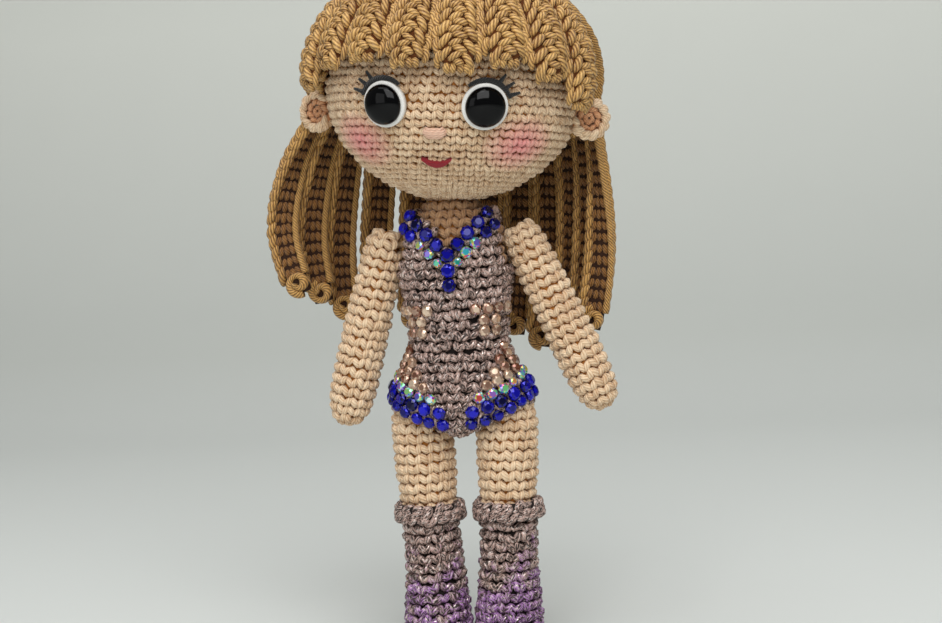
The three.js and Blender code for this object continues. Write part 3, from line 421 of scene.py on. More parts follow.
def material(key):
    """A material by its key, made once for the present colours."""
    c = colours()
    # The neck and chest take the skin yarn darkened as painted shadow of the head
    neck, neck_shade = shaded(c.skin, *NECK_SHADOW_SHARES), shaded(c.skin_shade, *NECK_SHADOW_SHARES)
    # Painted shade: the hair yarn darkened for the long strands, which hang behind the head, and darker still
    # for the rungs sunk between their edges
    strand, strand_shade = shaded(c.hair, 0.98, 0.93, 0.82), shaded(c.hair_shade, 0.75)
    deep, deep_shade = shaded(c.hair, 0.5, 0.38, 0.25), shaded(c.hair_shade, 0.6)
    rows = {
        "skin": (skin_yarn, "skin_yarn", c.skin, c.skin_shade, c.blush),
        "chest": (skin_yarn, "chest_yarn", neck, neck_shade, c.blush),
        # The cores are the yarns' shade colours made lighter or darker, painted shade seen between the
        # stitches
        "skin_core": (painted_shade_core, "skin_core", shaded(c.skin_shade, 1.9, 1.65, 1.2)),
        "hair": (yarn, "hair_yarn", c.hair, c.hair_shade, 0.42, 0.1, 1.0, 5, 0.9),
        "strand": (yarn, "hair_yarn_strand", strand, strand_shade, 0.42, 0.1, 1.0, 6, 0.95),
        "hair_rungs_painted_shade": (yarn, "hair_yarn_deep", deep, deep_shade, 0.5, 0.1),
        "hair_core": (painted_shade_core, "hair_core", shaded(c.hair_shade, 1.2)),
        "hair_dark": (painted_shade_core, "hair_core_deep", shaded(c.hair_shade, 0.3)),
        "cloth": (fleck_yarn, "leotard_yarn", c.cloth, c.cloth_shade),
        "cloth_core": (painted_shade_core, "leotard_core", shaded(c.cloth_shade, 0.6)),
        "boot": (fleck_yarn, "boot_yarn", c.cloth, c.cloth_shade, c.foot),
        "stuffing": (fibre, "stuffing", linear(0xF6F4EE), linear(0xD8D4CA), 0.6 * MM),
        "white_felt": (fibre, "white_felt", linear(0xFAF9F6), linear(0xD9D6CF)),
        "black_thread": (yarn, "black_thread", linear(0x1C1C1E), linear(0x020202), 0.75, 0.2, 1.2, 4),
        "thread": (fibre, "joint_thread", c.skin, c.skin_shade),
        "nose": (yarn, "nose_thread", linear(0xF7D8C2), linear(0xD59C7C), 0.7, 0.3, 0.6, 3, 0.4),
        "lip": (fibre, "red_felt", linear(0xB01226), linear(0x5A0612)),
        "inner_ear": (yarn, "inner_ear_yarn", linear(0xEAB488), linear(0xB87848), 0.85, 0.2, 0.9, 6, 0.6),
        "eye": (plastic, "eye_black", linear(0x050506), 0.05, 1.28),
        "washer": (plastic, "washer_plastic", linear(0xEDEDE8), 0.5),
        "insole": (plastic, "insole_plastic", linear(0xE6E4DE), 0.55),
        "wood": (wood, "rod_wood"),
        "blue": (stone, "blue_stone", shaded(c.blue, 0.06), c.blue, 0.3, 0.15),
        "copper": (stone, "copper_stone", linear(0x7C4630), c.copper),
        "shimmer": (shimmer_stone, "shimmer_stone"),
    }
    return make_material(*rows[key])


# Meshes

MERGE = 1e-6


def settle(obj, body, slot_name, *nodes):
    """Names the body that a piece rides on, its slot and the CAD nodes that it stands for."""
    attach(obj, body)
    if nodes:
        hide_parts(*nodes)
    return obj


def settle_head(obj, slot_name, *nodes):
    """Leans an upright piece of the head and settles it."""
    obj.data.transform(LEAN)
    return settle(obj, "torso", slot_name, *nodes)


def add_object(name, mesh, material_key=None):
    obj = bpy.data.objects.new(name, mesh)
    bpy.context.collection.objects.link(obj)
    if material_key is not None:
        mesh.materials.append(material(material_key))
    return obj


def mesh_from(name, work, smooth=True):
    """The mesh of a bmesh, which is freed."""
    mesh = bpy.data.meshes.new(name)
    work.to_mesh(mesh)
    work.free()
    if smooth:
        mesh.shade_smooth()
    return mesh


def loft(name, rings, capped=False, smooth=True):
    """A body through rings of places, each of as many, whose ends are points or get a face."""
    work = bmesh.new()
    rows = [[work.verts.new(place) for place in ring] for ring in rings]
    for low, high in zip(rows, rows[1:]):
        for k in range(len(low)):
            work.faces.new((low[k - 1], low[k], high[k], high[k - 1]))
    if capped:
        work.faces.new(rows[0])
        work.faces.new(rows[-1])
    bmesh.ops.remove_doubles(work, verts=work.verts, dist=MERGE)
    bmesh.ops.recalc_face_normals(work, faces=work.faces)
    return mesh_from(name, work, smooth)


def ring_mesh(name, profile, count=40):
    """A round body turned about Y from a profile of (radius, y) in millimetres."""
    return loft(name, [[Vector((cos(TURN * k / count) * radius, y, sin(TURN * k / count) * radius)) * MM
                        for k in range(count)] for radius, y in profile])


def tube_mesh(name, runs, sides):
    """Round tubes along lists of (place, radius), with a UV map of millimetres along and turns around."""
    places, faces, corners = [], [], []
    for run in runs:
        first = len(places)
        lengths = [0.0]
        facing = None
        for i, (place, radius) in enumerate(run):
            tangent = (run[min(i + 1, len(run) - 1)][0] - run[max(i - 1, 0)][0]).normalized()
            if facing is None:
                facing = tangent.orthogonal().normalized()
            facing = (facing - tangent * facing.dot(tangent)).normalized()
            across = tangent.cross(facing)
            if i:
                lengths.append(lengths[-1] + (place - run[i - 1][0]).length / MM)
            for k in range(sides):
                turn = TURN * k / sides
                places.append(place + (facing * cos(turn) + across * sin(turn)) * radius)
        for i in range(len(run) - 1):
            here = first + i * sides
            for k in range(sides):
                right = (k + 1) % sides
                faces.append((here + k, here + right, here + sides + right, here + sides + k))
                low, high, turns = lengths[i], lengths[i + 1], (k / sides, (k + 1) / sides)
                corners += [(low, turns[0]), (low, turns[1]), (high, turns[1]), (high, turns[0])]
        for end, order in ((0, reversed(range(sides))), (len(run) - 1, range(sides))):
            order = list(order)
            faces.append([first + end * sides + k for k in order])
            corners += [(lengths[end], k / sides) for k in order]
    mesh = bpy.data.meshes.new(name)
    mesh.from_pydata(places, [], faces)
    layer = mesh.uv_layers.new(name="UVMap")
    for loop, uv in zip(layer.data, corners):
        loop.uv = uv
    mesh.shade_smooth()
    return mesh


HOLLOW_REACH = 80 * MM
ROUGH_GRAIN = 2 * MM


def cad_mesh(name, node, shrink, seed, roughen, hollows=False):
    """A merged copy of a CAD node, roughened and pushed in, in its hollows too where asked."""
    work = bmesh.new()
    work.from_mesh(frame["nodes"][node].data)
    bmesh.ops.remove_doubles(work, verts=work.verts, dist=2 * MERGE)
    work.normal_update()
    tree = BVHTree.FromBMesh(work)
    moves = []
    for vert in work.verts:
        ahead = vert.co + vert.normal * 0.2 * MM
        inside = not hollows and tree.ray_cast(ahead, vert.normal, HOLLOW_REACH)[0] is not None
        rough = noise.noise(vert.co / ROUGH_GRAIN + Vector((seed, 0, 0))) * roughen
        moves.append(vert.normal * (0 if inside else shrink + rough))
    for vert, move in zip(work.verts, moves):
        vert.co -= move
    return mesh_from(name, work)


# Surfaces found with rays


class Shell:
    """The outside of a few CAD nodes."""

    def __init__(self, nodes, turned):
        places, faces = [], []
        for node in nodes:
            mesh = frame["nodes"][node].data
            first = len(places)
            places += [turned @ vert.co for vert in mesh.vertices]
            faces += [[first + i for i in face.vertices] for face in mesh.polygons]
        self.tree = BVHTree.FromPolygons(places, faces)

    def hit(self, origin, towards, reach):
        return self.tree.ray_cast(origin, towards, reach)[0]

    def covers(self, place, out, reach):
        """Whether the shell lies over a place, as cloth over skin."""
        return self.hit(place + out * 0.1 * MM, out, reach) is not None


@cache
def shell(*nodes):
    return Shell(nodes, Matrix.Identity(4))


@cache
def head_shell(node):
    """The shell of a piece of the head, set upright."""
    return Shell([node], UPRIGHT)


def running_lengths(marks):
    """The distance along a line of marks at each of them; a gap, where a mark is None, has no length."""
    lengths = [0.0]
    for a, b in zip(marks, marks[1:]):
        lengths.append(lengths[-1] + ((b - a).length if a and b else 0.0))
    return lengths


def find_distance(lengths, goal):
    """The mark before a distance and the share of the way to the next."""
    i = min(bisect_left(lengths, goal, 1), len(lengths) - 1) - 1
    step = lengths[i + 1] - lengths[i]
    return i, (goal - lengths[i]) / step if step else 0.5


class Wrap:
    """The outside of a shell round an axis, as a smoothed grid of radii."""

    SIDES = 48
    STEPS = 110
    MARKS = 96
    REACH = 70 * MM
    JUMP = 2 * MM

    def __init__(self, cover, start, end):
        self.start = start
        self.axis = (end - start).normalized()
        self.length = (end - start).length
        self.front = (FRONT - self.axis * FRONT.dot(self.axis)).normalized()
        self.left = self.axis.cross(self.front)
        # The steps are closer at the ends, where a round cover turns in fast
        self.heights = [(1 - cos(pi * (i + 0.5) / self.STEPS)) / 2 * self.length for i in range(self.STEPS)]
        self.grid = [[self.radius_of(cover, height, TURN * k / self.SIDES) for k in range(self.SIDES)]
                     for height in self.heights]
        for _ in range(2):
            self.grid = [[self.smoothed(i, k) for k in range(self.SIDES)] for i in range(self.STEPS)]

    def out(self, turn):
        return self.front * cos(turn) + self.left * sin(turn)

    def radius_of(self, cover, height, turn):
        out = self.out(turn)
        origin = self.start + self.axis * height
        place = cover.hit(origin + out * self.REACH, -out, self.REACH)
        return None if place is None else (place - origin).dot(out)

    def smoothed(self, i, k):
        """A radius of the grid, evened out with those beside it."""
        radius = self.grid[i][k]
        near = [self.grid[i][k - 1], self.grid[i][(k + 1) % self.SIDES]]
        near += [self.grid[j][k] for j in (i - 1, i + 1) if 0 <= j < self.STEPS]
        close = [r for r in near if r is not None and radius is not None and abs(r - radius) < self.JUMP]
        return (radius * 2 + sum(close)) / (2 + len(close)) if close else radius

    def radius(self, height, turn):
        """The radius at a height and a turn, or None in an opening."""
        bend = acos(min(max(1 - 2 * height / self.length, -1), 1))
        up = min(max(bend / pi * self.STEPS - 0.5, 0), self.STEPS - 1.001)
        around = turn / TURN * self.SIDES % self.SIDES
        i, k = int(up), int(around)
        a, b = up - i, around - k
        values = [(weight * share, self.grid[row][side % self.SIDES])
                  for share, side in ((1 - b, k), (b, k + 1)) for weight, row in ((1 - a, i), (a, i + 1))]
        middle = max(values, key=lambda value: value[0])[1]
        if middle is None:
            return None
        close = [(weight, r) for weight, r in values if r is not None and abs(r - middle) < self.JUMP * 2]
        total = sum(weight for weight, _ in close)
        return sum(weight * r for weight, r in close) / total if total else middle

    def place(self, height, share, turn):
        """A place on the wrap, or a share of the way to it from the axis, or None in an opening."""
        radius = self.radius(height, turn)
        return None if radius is None else self.start + self.axis * height + self.out(turn) * radius * share

    def profile(self, closed_start, closed_end):
        """The outline as (height, mean radius, share of it), from one end to the other."""
        line = []
        for height, row in zip(self.heights, self.grid):
            found = [r for r in row if r is not None]
            if found:
                line.append((height, sum(found) / len(found), 1.0))
        start = [(*line[0][:2], 0.0)] if closed_start else []
        end = [(*line[-1][:2], 0.0)] if closed_end else []
        return start + line + end

    def even_turns(self, height, share, width, shift):
        """The turns of stitches spaced evenly round one row, and their spacing."""
        marks = [self.place(height, share, TURN * k / self.MARKS) for k in range(self.MARKS + 1)]
        lengths = running_lengths(marks)
        count = max(4, round(lengths[-1] / width))
        spacing = max(lengths[-1], MERGE) / count
        found = [find_distance(lengths, (k + shift % 1) * spacing) for k in range(count)]
        return [TURN * sum(mark) / self.MARKS for mark in found], spacing


STITCH_INSET = 0.75 * MM
ROW_SHIFT = 0.12


def stitches_round(wrap, rng, closed=(False, False), keep=None, grow=1, fit=(1, 1), flip=1, stray=0.12 * MM):
    """Stitches in rows round a wrap: (place, out, along, size, tint) each."""
    width = sizes().stitch_width * grow * fit[0]
    pitch = sizes().row_height * grow * fit[1]
    line = wrap.profile(*closed)
    steps = running_lengths([Vector((height, mean * share)) for height, mean, share in line])
    rows = max(1, round(steps[-1] / pitch))
    real_pitch = steps[-1] / rows

    def spot(distance):
        """The height and the share at a distance along the outline."""
        i, along = find_distance(steps, min(max(distance, 0), steps[-1]))
        return [a + (b - a) * along for a, b in zip(line[i][::2], line[i + 1][::2])]

    found = []
    for row in range(rows):
        distance = (row + 0.5) * real_pitch
        middle, low, high = (spot(distance + aside) for aside in (0, -pitch * 0.3, pitch * 0.3))
        turns, spacing = wrap.even_turns(*middle, width, row * ROW_SHIFT)
        step = TURN * 0.18 / len(turns)
        for turn in turns:
            here = wrap.place(*middle, turn)
            if here is None:
                continue
            before, after = wrap.place(*middle, turn - step), wrap.place(*middle, turn + step)
            below, above = wrap.place(*low, turn), wrap.place(*high, turn)
            along = (after or here) - (before or here)
            rise = (above or here) - (below or here)
            if along.length < 0.1 * MERGE:
                along = wrap.axis.cross(here - wrap.start)
            if rise.length < 0.1 * MERGE:
                rise = wrap.axis
            out = along.cross(rise).normalized()
            if keep is not None and not keep(here, out):
                continue
            along.normalize()
            size = Vector((spacing / width, real_pitch / pitch, 1)) * grow
            aside = along * rng.uniform(-stray, stray) + rise.normalized() * rng.uniform(-stray, stray)
            found.append((here + aside - out * STITCH_INSET * grow, out, along * flip, size, rng.random()))
    return found


# Stitches

LOBE_LENGTH = 3.6 * MM
LOBE_RADIUS = 1.1 * MM
STITCH_BULGE = 0.4 * MM


def curve_point(points, share):
    """A point on the centripetal curve that the CAD source uses too."""
    last = len(points) - 1
    i = min(int(share * last), last - 1)
    weight = share * last - i
    p1, p2 = points[i], points[i + 1]
    p0 = points[i - 1] if i else p1 * 2 - p2
    p3 = points[i + 2] if i + 2 <= last else p2 * 2 - p1
    d1 = max((p2 - p1).length, 1e-9) ** 0.5
    d0 = (p1 - p0).length ** 0.5 or d1
    d2 = (p3 - p2).length ** 0.5 or d1
    t1 = ((p1 - p0) / d0 - (p2 - p0) / (d0 + d1) + (p2 - p1) / d1) * d1
    t2 = ((p2 - p1) / d1 - (p3 - p1) / (d1 + d2) + (p3 - p2) / d2) * d1
    c2 = p1 * -3 + p2 * 3 - t1 * 2 - t2
    c3 = p1 * 2 - p2 * 2 + t1 + t2
    return p1 + t1 * weight + c2 * weight ** 2 + c3 * weight ** 3


def arc_run(points, radius, count, ends=0.5):
    """A run along a smooth curve through points, fullest in the middle."""
    shares = [i / (count - 1) for i in range(count)]
    return [(curve_point(points, share), radius * (ends + (1 - ends) * sin(pi * share) ** 0.7))
            for share in shares]


@cache
def v_stitch(name, width, height, radius):
    """One single crochet stitch: two plump strands that meet at the bottom."""
    points = [Vector((width * x, height * y, STITCH_BULGE * z)) for x, y, z in
              [(0.4, 0.4, -2), (0.33, 0.16, 0.9), (0.17, -0.15, 1), (0.03, -0.44, -2)]]
    runs = [arc_run([Vector((side * p.x, p.y, p.z)) for p in points], radius, 6) for side in (-1, 1)]
    return bpy.data.objects.new(name, tube_mesh(name, runs, 6))


@cache
def lobe():
    """One plump loop of yarn seen from outside."""
    points = [Vector((0, LOBE_LENGTH * y, LOBE_RADIUS * z)) for y, z in
              [(-0.5, -0.7), (-0.2, 0.1), (0.2, 0.1), (0.5, -0.7)]]
    return bpy.data.objects.new("lobe", tube_mesh("lobe", [arc_run(points, LOBE_RADIUS, 7)], 7))


def basic_stitch():
    s = sizes()
    return v_stitch("stitch", s.stitch_width, s.row_height, s.yarn_radius)


def wide_stitch():
    s = sizes()
    return v_stitch("wide_stitch", s.stitch_width, s.row_height * 0.84, s.yarn_radius * 1.14)


POINT_VALUES = {"out": "FLOAT_VECTOR", "along": "FLOAT_VECTOR", "size": "FLOAT_VECTOR", "tint": "FLOAT"}
TREE_INPUTS = {"Geometry": "Geometry", "Stitch": "Object", "Turn Jitter": "Float", "Size Jitter": "Float",
               "Seed": "Int", "Material": "Material"}


@cache
def stitch_tree():
    """Puts a stitch on each point, turned and sized by the point's own values."""
    tree = bpy.data.node_groups.new("Stitches On Points", "GeometryNodeTree")
    for name, kind in TREE_INPUTS.items():
        tree.interface.new_socket(name, in_out="INPUT", socket_type="NodeSocket" + kind)
    tree.interface.new_socket("Geometry", in_out="OUTPUT", socket_type="NodeSocketGeometry")

    def put(*values):
        return add_node(tree, *values)

    start = put("NodeGroupInput")
    shape = put("GeometryNodeObjectInfo", {"transform_space": "ORIGINAL"}, {"Object": start["Stitch"]})
    vector = {"data_type": "FLOAT_VECTOR"}
    out, along, size = (put("GeometryNodeInputNamedAttribute", vector, {"Name": name})[0]
                        for name in ("out", "along", "size"))
    axes = put("FunctionNodeAxesToRotation", {"primary_axis": "Z", "secondary_axis": "X"}, {0: out, 1: along})
    limits = {"Min": (-1, -1, -1), "Max": (1, 1, 1), "Seed": start["Seed"]}
    spread = put("FunctionNodeRandomValue", vector, limits)[0]
    turns, growth = (put("ShaderNodeVectorMath", {"operation": "SCALE"}, {0: spread, "Scale": start[name]})[0]
                     for name in ("Turn Jitter", "Size Jitter"))
    euler = put("FunctionNodeEulerToRotation", None, {0: turns})
    turned = put("FunctionNodeRotateRotation", {"rotation_space": "LOCAL"}, {0: axes[0], 1: euler[0]})
    scale = put("ShaderNodeVectorMath", {"operation": "MULTIPLY_ADD"}, {0: growth, 1: size, 2: size})
    placed = put("GeometryNodeInstanceOnPoints", None, {
        "Points": start["Geometry"], "Instance": shape["Geometry"], "Rotation": turned[0], "Scale": scale[0]})
    real = put("GeometryNodeRealizeInstances", None, {0: placed[0]})
    dressed = put("GeometryNodeSetMaterial", None, {"Geometry": real[0], "Material": start["Material"]})
    put("NodeGroupOutput", None, {0: dressed[0]})
    return tree


def crochet(name, found, stitch, key, seed, turn_jitter=0.22, size_jitter=0.12):
    """The stitches as one plain mesh, of the material with that key."""
    points = bpy.data.meshes.new(name + "_points")
    points.from_pydata([row[0] for row in found], [], [])
    for i, (value_name, kind) in enumerate(POINT_VALUES.items(), 1):
        layer = points.attributes.new(value_name, kind, "POINT")
        for item, row in zip(layer.data, found):
            setattr(item, "value" if kind == "FLOAT" else "vector", row[i])
    source = add_object(name + "_source", points)
    modifier = source.modifiers.new("Stitches", "NODES")
    modifier.node_group = stitch_tree()
    values = {"Stitch": stitch, "Turn Jitter": turn_jitter, "Size Jitter": size_jitter,
              "Seed": sizes().seed + seed, "Material": material(key)}
    for socket in modifier.node_group.interface.items_tree:
        if socket.name in values:
            modifier[socket.identifier] = values[socket.name]
    graph = bpy.context.evaluated_depsgraph_get()
    mesh = bpy.data.meshes.new_from_object(source.evaluated_get(graph), depsgraph=graph)
    mesh.name = name
    bpy.data.objects.remove(source)
    if not mesh.polygons:
        raise RuntimeError(f"{name} has no stitches")
    for value_name in ("out", "along", "size"):
        if value_name in mesh.attributes:
            mesh.attributes.remove(mesh.attributes[value_name])
    # The points had no material, which leaves an empty slot before the stitches' own
    mesh.materials.clear()
    return add_object(name, mesh, key)


# Covers

ROUGH_DEPTH = 0.15 * MM
FABRIC_DEPTH = 1.3 * MM
STUFFING_DEPTH = 0.45 * MM
STUFFING_SEED = 3
SOLE_HEIGHT = 2 * MM
EDGE_REACH = 1.8 * MM
COVER_REACH = 4 * MM
HEAD_REACH = 1.2 * MM
TORSO_REACH = 0.6 * MM
THREAD_ROOM = 2.6 * MM
SHOULDER_BARE = SHOULDER_RADIUS + 0.9 * MM
ARM_ROOM = SHOULDER_RADIUS + 2.9 * MM
CUFF_PITCH = 3.4 * MM
CUFF_SIZE = (1.15, 1.25, 1.1)

# Rows of a cuff: share of its half height, tip of the stitches outwards and tilt along the band
CUFF_ROWS = [(-0.6, -0.8, 0.5), (0.05, 0, 0.6), (0.7, 0.9, 0.5)]


def fabric(name, node, depth, key, slot_name, body="torso", roughen=ROUGH_DEPTH):
    """The fabric under the stitches, which stands for its CAD node; it is padded where a fill is given."""
    # Where the material is a core, its dark colour between the stitches is painted shade
    obj = add_object(name, cad_mesh(name, node, depth, len(name), roughen), key)
    settle(obj, body, slot_name, node)


def stuffing(node, body="torso"):
    """Loose fibre inside a cover."""
    name = node + "_fibre"
    mesh = cad_mesh(name, node, STUFFING_DEPTH, STUFFING_SEED, ROUGH_DEPTH, hollows=True)
    obj = settle(add_object(name, mesh, "stuffing"), body, "stuffing", node)


def stitches(name, found, stitch, key, slot_name, seed, body="torso", jitter=()):
    """The stitches of a cover, with its own jitter of turns and sizes where one is given."""
    settle(crochet(name, found, stitch, key, seed, *jitter), body, slot_name)


def corners_of(node):
    return [Vector(corner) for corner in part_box(node)]


def upright_wrap(node, top=0.0):
    """A wrap round the doll's middle, as high as a node or that much less."""
    low, high = corners_of(node)
    return Wrap(shell(node), MIDDLE + UP * low.z, MIDDLE + UP * (high.z - top))


def leg_wrap(node, side, start):
    """A wrap round the leaning axis of a leg or a boot, from a height to the node's top."""
    ends = []
    for height in (start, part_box(node)[1][2]):
        spread = LEG_SPREAD_LOW + height * (LEG_SPREAD_HIGH - LEG_SPREAD_LOW) / HIP_HEIGHT
        ends.append(MIDDLE + Vector((side * spread, 0, height)))
    return Wrap(shell(node), *ends)


def rays_round(radius, pitch, across, up, shift=0.0, least=1):
    """Directions spaced evenly round a circle, about a pitch apart on it."""
    count = max(least, round(TURN * radius / pitch))
    for k in range(count):
        turn = TURN * (k + shift) / count
        yield across * cos(turn) + up * sin(turn)


def make_body():
    """The body's skin, without stitches under the leotard and the head and with room for the arms."""
    leotard, head = shell("leotard"), shell("head_cover")

    def keep(place, out):
        beside = any((place - pivot).length < SHOULDER_BARE for pivot in PIVOTS.values())
        under_cloth = leotard.covers(place + UP * EDGE_REACH, out, COVER_REACH)
        return not (beside or under_cloth or head.covers(place, UP, HEAD_REACH))

    found = stitches_round(upright_wrap("body_cover", 0.3 * MM), rng_of("body"), (True, False), keep)
    for place, *_ in found:
        for pivot in PIVOTS.values():
            away = place - pivot
            if away.length < ARM_ROOM:
                place += away * (ARM_ROOM / away.length - 1)
    fabric("body_fabric", "body_cover", FABRIC_DEPTH, "skin_core", "skin_yarn")
    # The body's stitches take the skin yarn darkened as painted shadow of the head over the neck and chest
    stitches("body_stitches", found, basic_stitch(), "chest", "skin_yarn", 0)
    stuffing("body_stuffing")


def make_leotard():
    found = stitches_round(upright_wrap("leotard"), rng_of("leotard"), fit=(0.96, 1.02), stray=0.3 * MM)
    fabric("leotard_fabric", "leotard", 1.15 * MM, "cloth_core", "leotard_yarn", roughen=0.05 * MM)
    stitches("leotard_stitches", found, wide_stitch(), "cloth", "leotard_yarn", 1, jitter=(0.38, 0.17))


def make_legs():
    for name, side in SIDES.items():
        node = f"leg_{name}"
        covers = [(shell("leotard"), UP * -EDGE_REACH), (shell(f"boot_cuff_{name}"), UP * EDGE_REACH)]

        def keep(place, out):
            return not any(cover.covers(place + lift, out, COVER_REACH) for cover, lift in covers)

        wrap = leg_wrap(node, side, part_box(node)[0][2] + 0.2 * MM)
        found = stitches_round(wrap, rng_of(f"leg {name}"), keep=keep)
        fabric(f"leg_fabric_{name}", node, FABRIC_DEPTH, "skin_core", "skin_yarn")
        stitches(f"leg_stitches_{name}", found, basic_stitch(), "skin", "skin_yarn", side)
        stuffing(f"leg_stuffing_{name}")


def make_boots():
    for name, side in SIDES.items():
        node = f"boot_{name}"
        wrap = leg_wrap(node, side, 0.05 * MM)
        found = stitches_round(wrap, rng_of(f"boot {name}"), (True, False), stray=0.3 * MM)
        for place, *_ in found:
            place.z = max(place.z, SOLE_HEIGHT)
        fabric(f"boot_fabric_{name}", node, FABRIC_DEPTH, "cloth_core", "boot_yarn")
        stitches(f"boot_stitches_{name}", found, wide_stitch(), "boot", "boot_yarn", side,
                 jitter=(0.36, 0.17))
        make_cuff(name)


def make_cuff(name):
    """The rolled cuff: a thick band of chain stitches that lie along it."""
    rng = rng_of(f"cuff {name}")
    node = f"boot_cuff_{name}"
    low, high = corners_of(node)
    centre, half = (low + high) / 2, (high - low) / 2
    found = []
    for row, (share, tip, tilt) in enumerate(CUFF_ROWS):
        radius = half.x - (0.55 + abs(share) ** 3 * 1.6) * MM
        for out in rays_round(radius, CUFF_PITCH, RIGHT, -FRONT, row * 0.45):
            facing = (out + UP * tip).normalized()
            along = Matrix.Rotation(tilt - pi / 2, 3, facing) @ UP.cross(out)
            place = centre + UP * half.z * share + out * radius - facing * 0.5 * MM
            found.append((place, facing, along, Vector(CUFF_SIZE), rng.random()))
    fabric(f"cuff_fabric_{name}", node, 0.55 * MM, "cloth_core", "boot_yarn")
    stitches(f"cuff_stitches_{name}", found, lobe(), "cloth", "boot_yarn", 5, jitter=(0.36, 0.18))


def make_arms():
    """The arms, without stitches where the thread comes out on top and towards the body."""
    torso = shell("leotard", "body_cover")
    for name, side in SIDES.items():
        node = f"arm_{name}"
        pivot = PIVOTS[name]
        down = Vector((side * sin(ARM_ANGLES[name]), 0, -cos(ARM_ANGLES[name])))
        top = pivot - down * (SHOULDER_RADIUS - 0.15 * MM)
        wrap = Wrap(shell(node), top, pivot + down * (ARM_LENGTH - 0.1 * MM))
        openings = [pivot - down * SHOULDER_RADIUS, pivot - RIGHT * side * SHOULDER_RADIUS]

        def keep(place, out):
            clear = all((place - opening).length > THREAD_ROOM for opening in openings)
            return clear and not torso.covers(place, out, TORSO_REACH)

        found = stitches_round(wrap, rng_of(f"arm {name}"), (True, True), keep, flip=-1)
        fabric(f"arm_fabric_{name}", node, FABRIC_DEPTH, "skin_core", "skin_yarn", node)
        stitches(f"arm_stitches_{name}", found, basic_stitch(), "skin", "skin_yarn", side * 3, node)
        stuffing(f"arm_stuffing_{name}", node)


# Head

CAP_HIDES = 2.5 * MM
CAP_REACH = 7 * MM
CAP_DROP = 24 * MM
CHEEK = (24 * MM, -17 * MM)
CHEEK_REACH = 12.5 * MM
EAR_PLACE = Vector((HEAD_HALF.x + 2.56 * MM, -2 * MM, -8 * MM))
EAR_TURN = radians(26)

# Rings of an ear in millimetres: radius, height, stitch size, lean outwards, pitch
EAR_RINGS = [(1.1, 0.3, 0.7, 0.0, 1.9), (3.1, 0.5, 0.85, 0.2, 2.5), (4.9, 1.5, 0.95, 0.5, 2.7),
             (5.9, 0.6, 1.0, 1.4, 2.8), (5.5, -0.8, 0.95, 2.2, 2.8)]
EAR_BACK_RINGS = [1.6 * MM, 4.1 * MM]
EAR_BACK_PITCH = 3 * MM
EAR_BACK_DEPTH = 1.2 * MM
EAR_BACK_SIZE = (1, 0.9, 0.8)
EAR_TWIST = 0.4

# Outlines of the eye and its felt as (radius, depth) in millimetres
EYE_BACK = -1.8
EYE_PROFILE = [(sin(a) * 6, EYE_BACK - cos(a) * 3.4) for a in [radians(7.5 * i) for i in range(13)]]
EYE_PROFILE += [(5.2, EYE_BACK + 0.05), (2, EYE_BACK + 0.05), (2, EYE_BACK + 9), (0, EYE_BACK + 9)]
FELT_PROFILE = [(2.4, -1.5), (6.4, -1.5), (6.85, -1.25), (6.9, -0.9), (6.85, -0.5), (6.6, 0.6), (2.4, 0.2),
                (2.4, -1.5)]
LASH_RADIUS = 7.75 * MM
LASH_THICK = 0.85 * MM
LASH_LENGTH = 3.4 * MM
LASH_ANGLES = [26, 44, 62]
NOSE_HALF = 3.4
NOSE_PITCH = 0.62
MOUTH_HALF = 4.6 * MM
MOUTH_STEPS = 16
MOUTH_EDGE = 0.2 * MM

# Section of the mouth's felt in millimetres: depth into the head and drop at the middle
MOUTH_SECTION = [(-0.95, 0.9), (-0.95, 3), (1.2, 3), (1.2, 0.9)]


def make_head():
    cap = head_shell("wig_cap")
    low, high = HEAD - UP * (HEAD_HALF.z - 0.6 * MM), HEAD + UP * (HEAD_HALF.z - 0.2 * MM)
    wrap = Wrap(head_shell("head_cover"), low, high)

    def keep(place, out):
        return not cap.covers(place - out * 0.5 * MM - UP * CAP_HIDES, out, CAP_REACH)

    found = stitches_round(wrap, rng_of("head"), keep=keep, grow=sizes().head_share)
    fabric("head_fabric", "head_cover", 1.1 * MM, "skin_core", "skin_yarn")
    obj = crochet("head_stitches", found, basic_stitch(), "skin", 9)
    paint_blush(obj)
    settle_head(obj, "skin_yarn")
    stuffing("head_stuffing")


def make_cap():
    top = HEAD_HALF.z + SEAT_GAP + CAP_WALL
    wrap = Wrap(head_shell("wig_cap"), HEAD - UP * CAP_DROP, HEAD + UP * top)
    found = stitches_round(wrap, rng_of("cap"), (False, True))
    fabric("cap_fabric", "wig_cap", 0.9 * MM, "hair_core", "hair_yarn")
    settle_head(crochet("cap_stitches", found, wide_stitch(), "hair", 4), "hair_yarn")


def head_out(place):
    """The way out of the head's ball at a place seen from its middle."""
    return Vector([place[i] / HEAD_HALF[i] ** 2 for i in range(3)]).normalized()


def head_front(x, z):
    """A place on the front of the head and the way out of it."""
    y = -HEAD_HALF.y * sqrt(1 - (x / HEAD_HALF.x) ** 2 - (z / HEAD_HALF.z) ** 2)
    place = Vector((x, y, z))
    return HEAD + place, head_out(place)


def in_head(place, over=0.6 * MM):
    """Whether an upright place lies within the head's ball."""
    return sum(((place - HEAD)[i] / (HEAD_HALF[i] + over)) ** 2 for i in range(3)) < 1


def paint_blush(obj):
    """Two soft cheeks, as a share from 0 to 1 at each point."""
    layer = obj.data.attributes.new("blush", "FLOAT", "POINT")
    cheeks = [head_front(side * CHEEK[0], CHEEK[1])[0] for side in (-1, 1)]
    for item, vert in zip(layer.data, obj.data.vertices):
        near = min(((vert.co - cheek) * Vector((1, 1, 1.35))).length for cheek in cheeks)
        item.value = max(0.0, 1 - near / CHEEK_REACH) ** 0.8


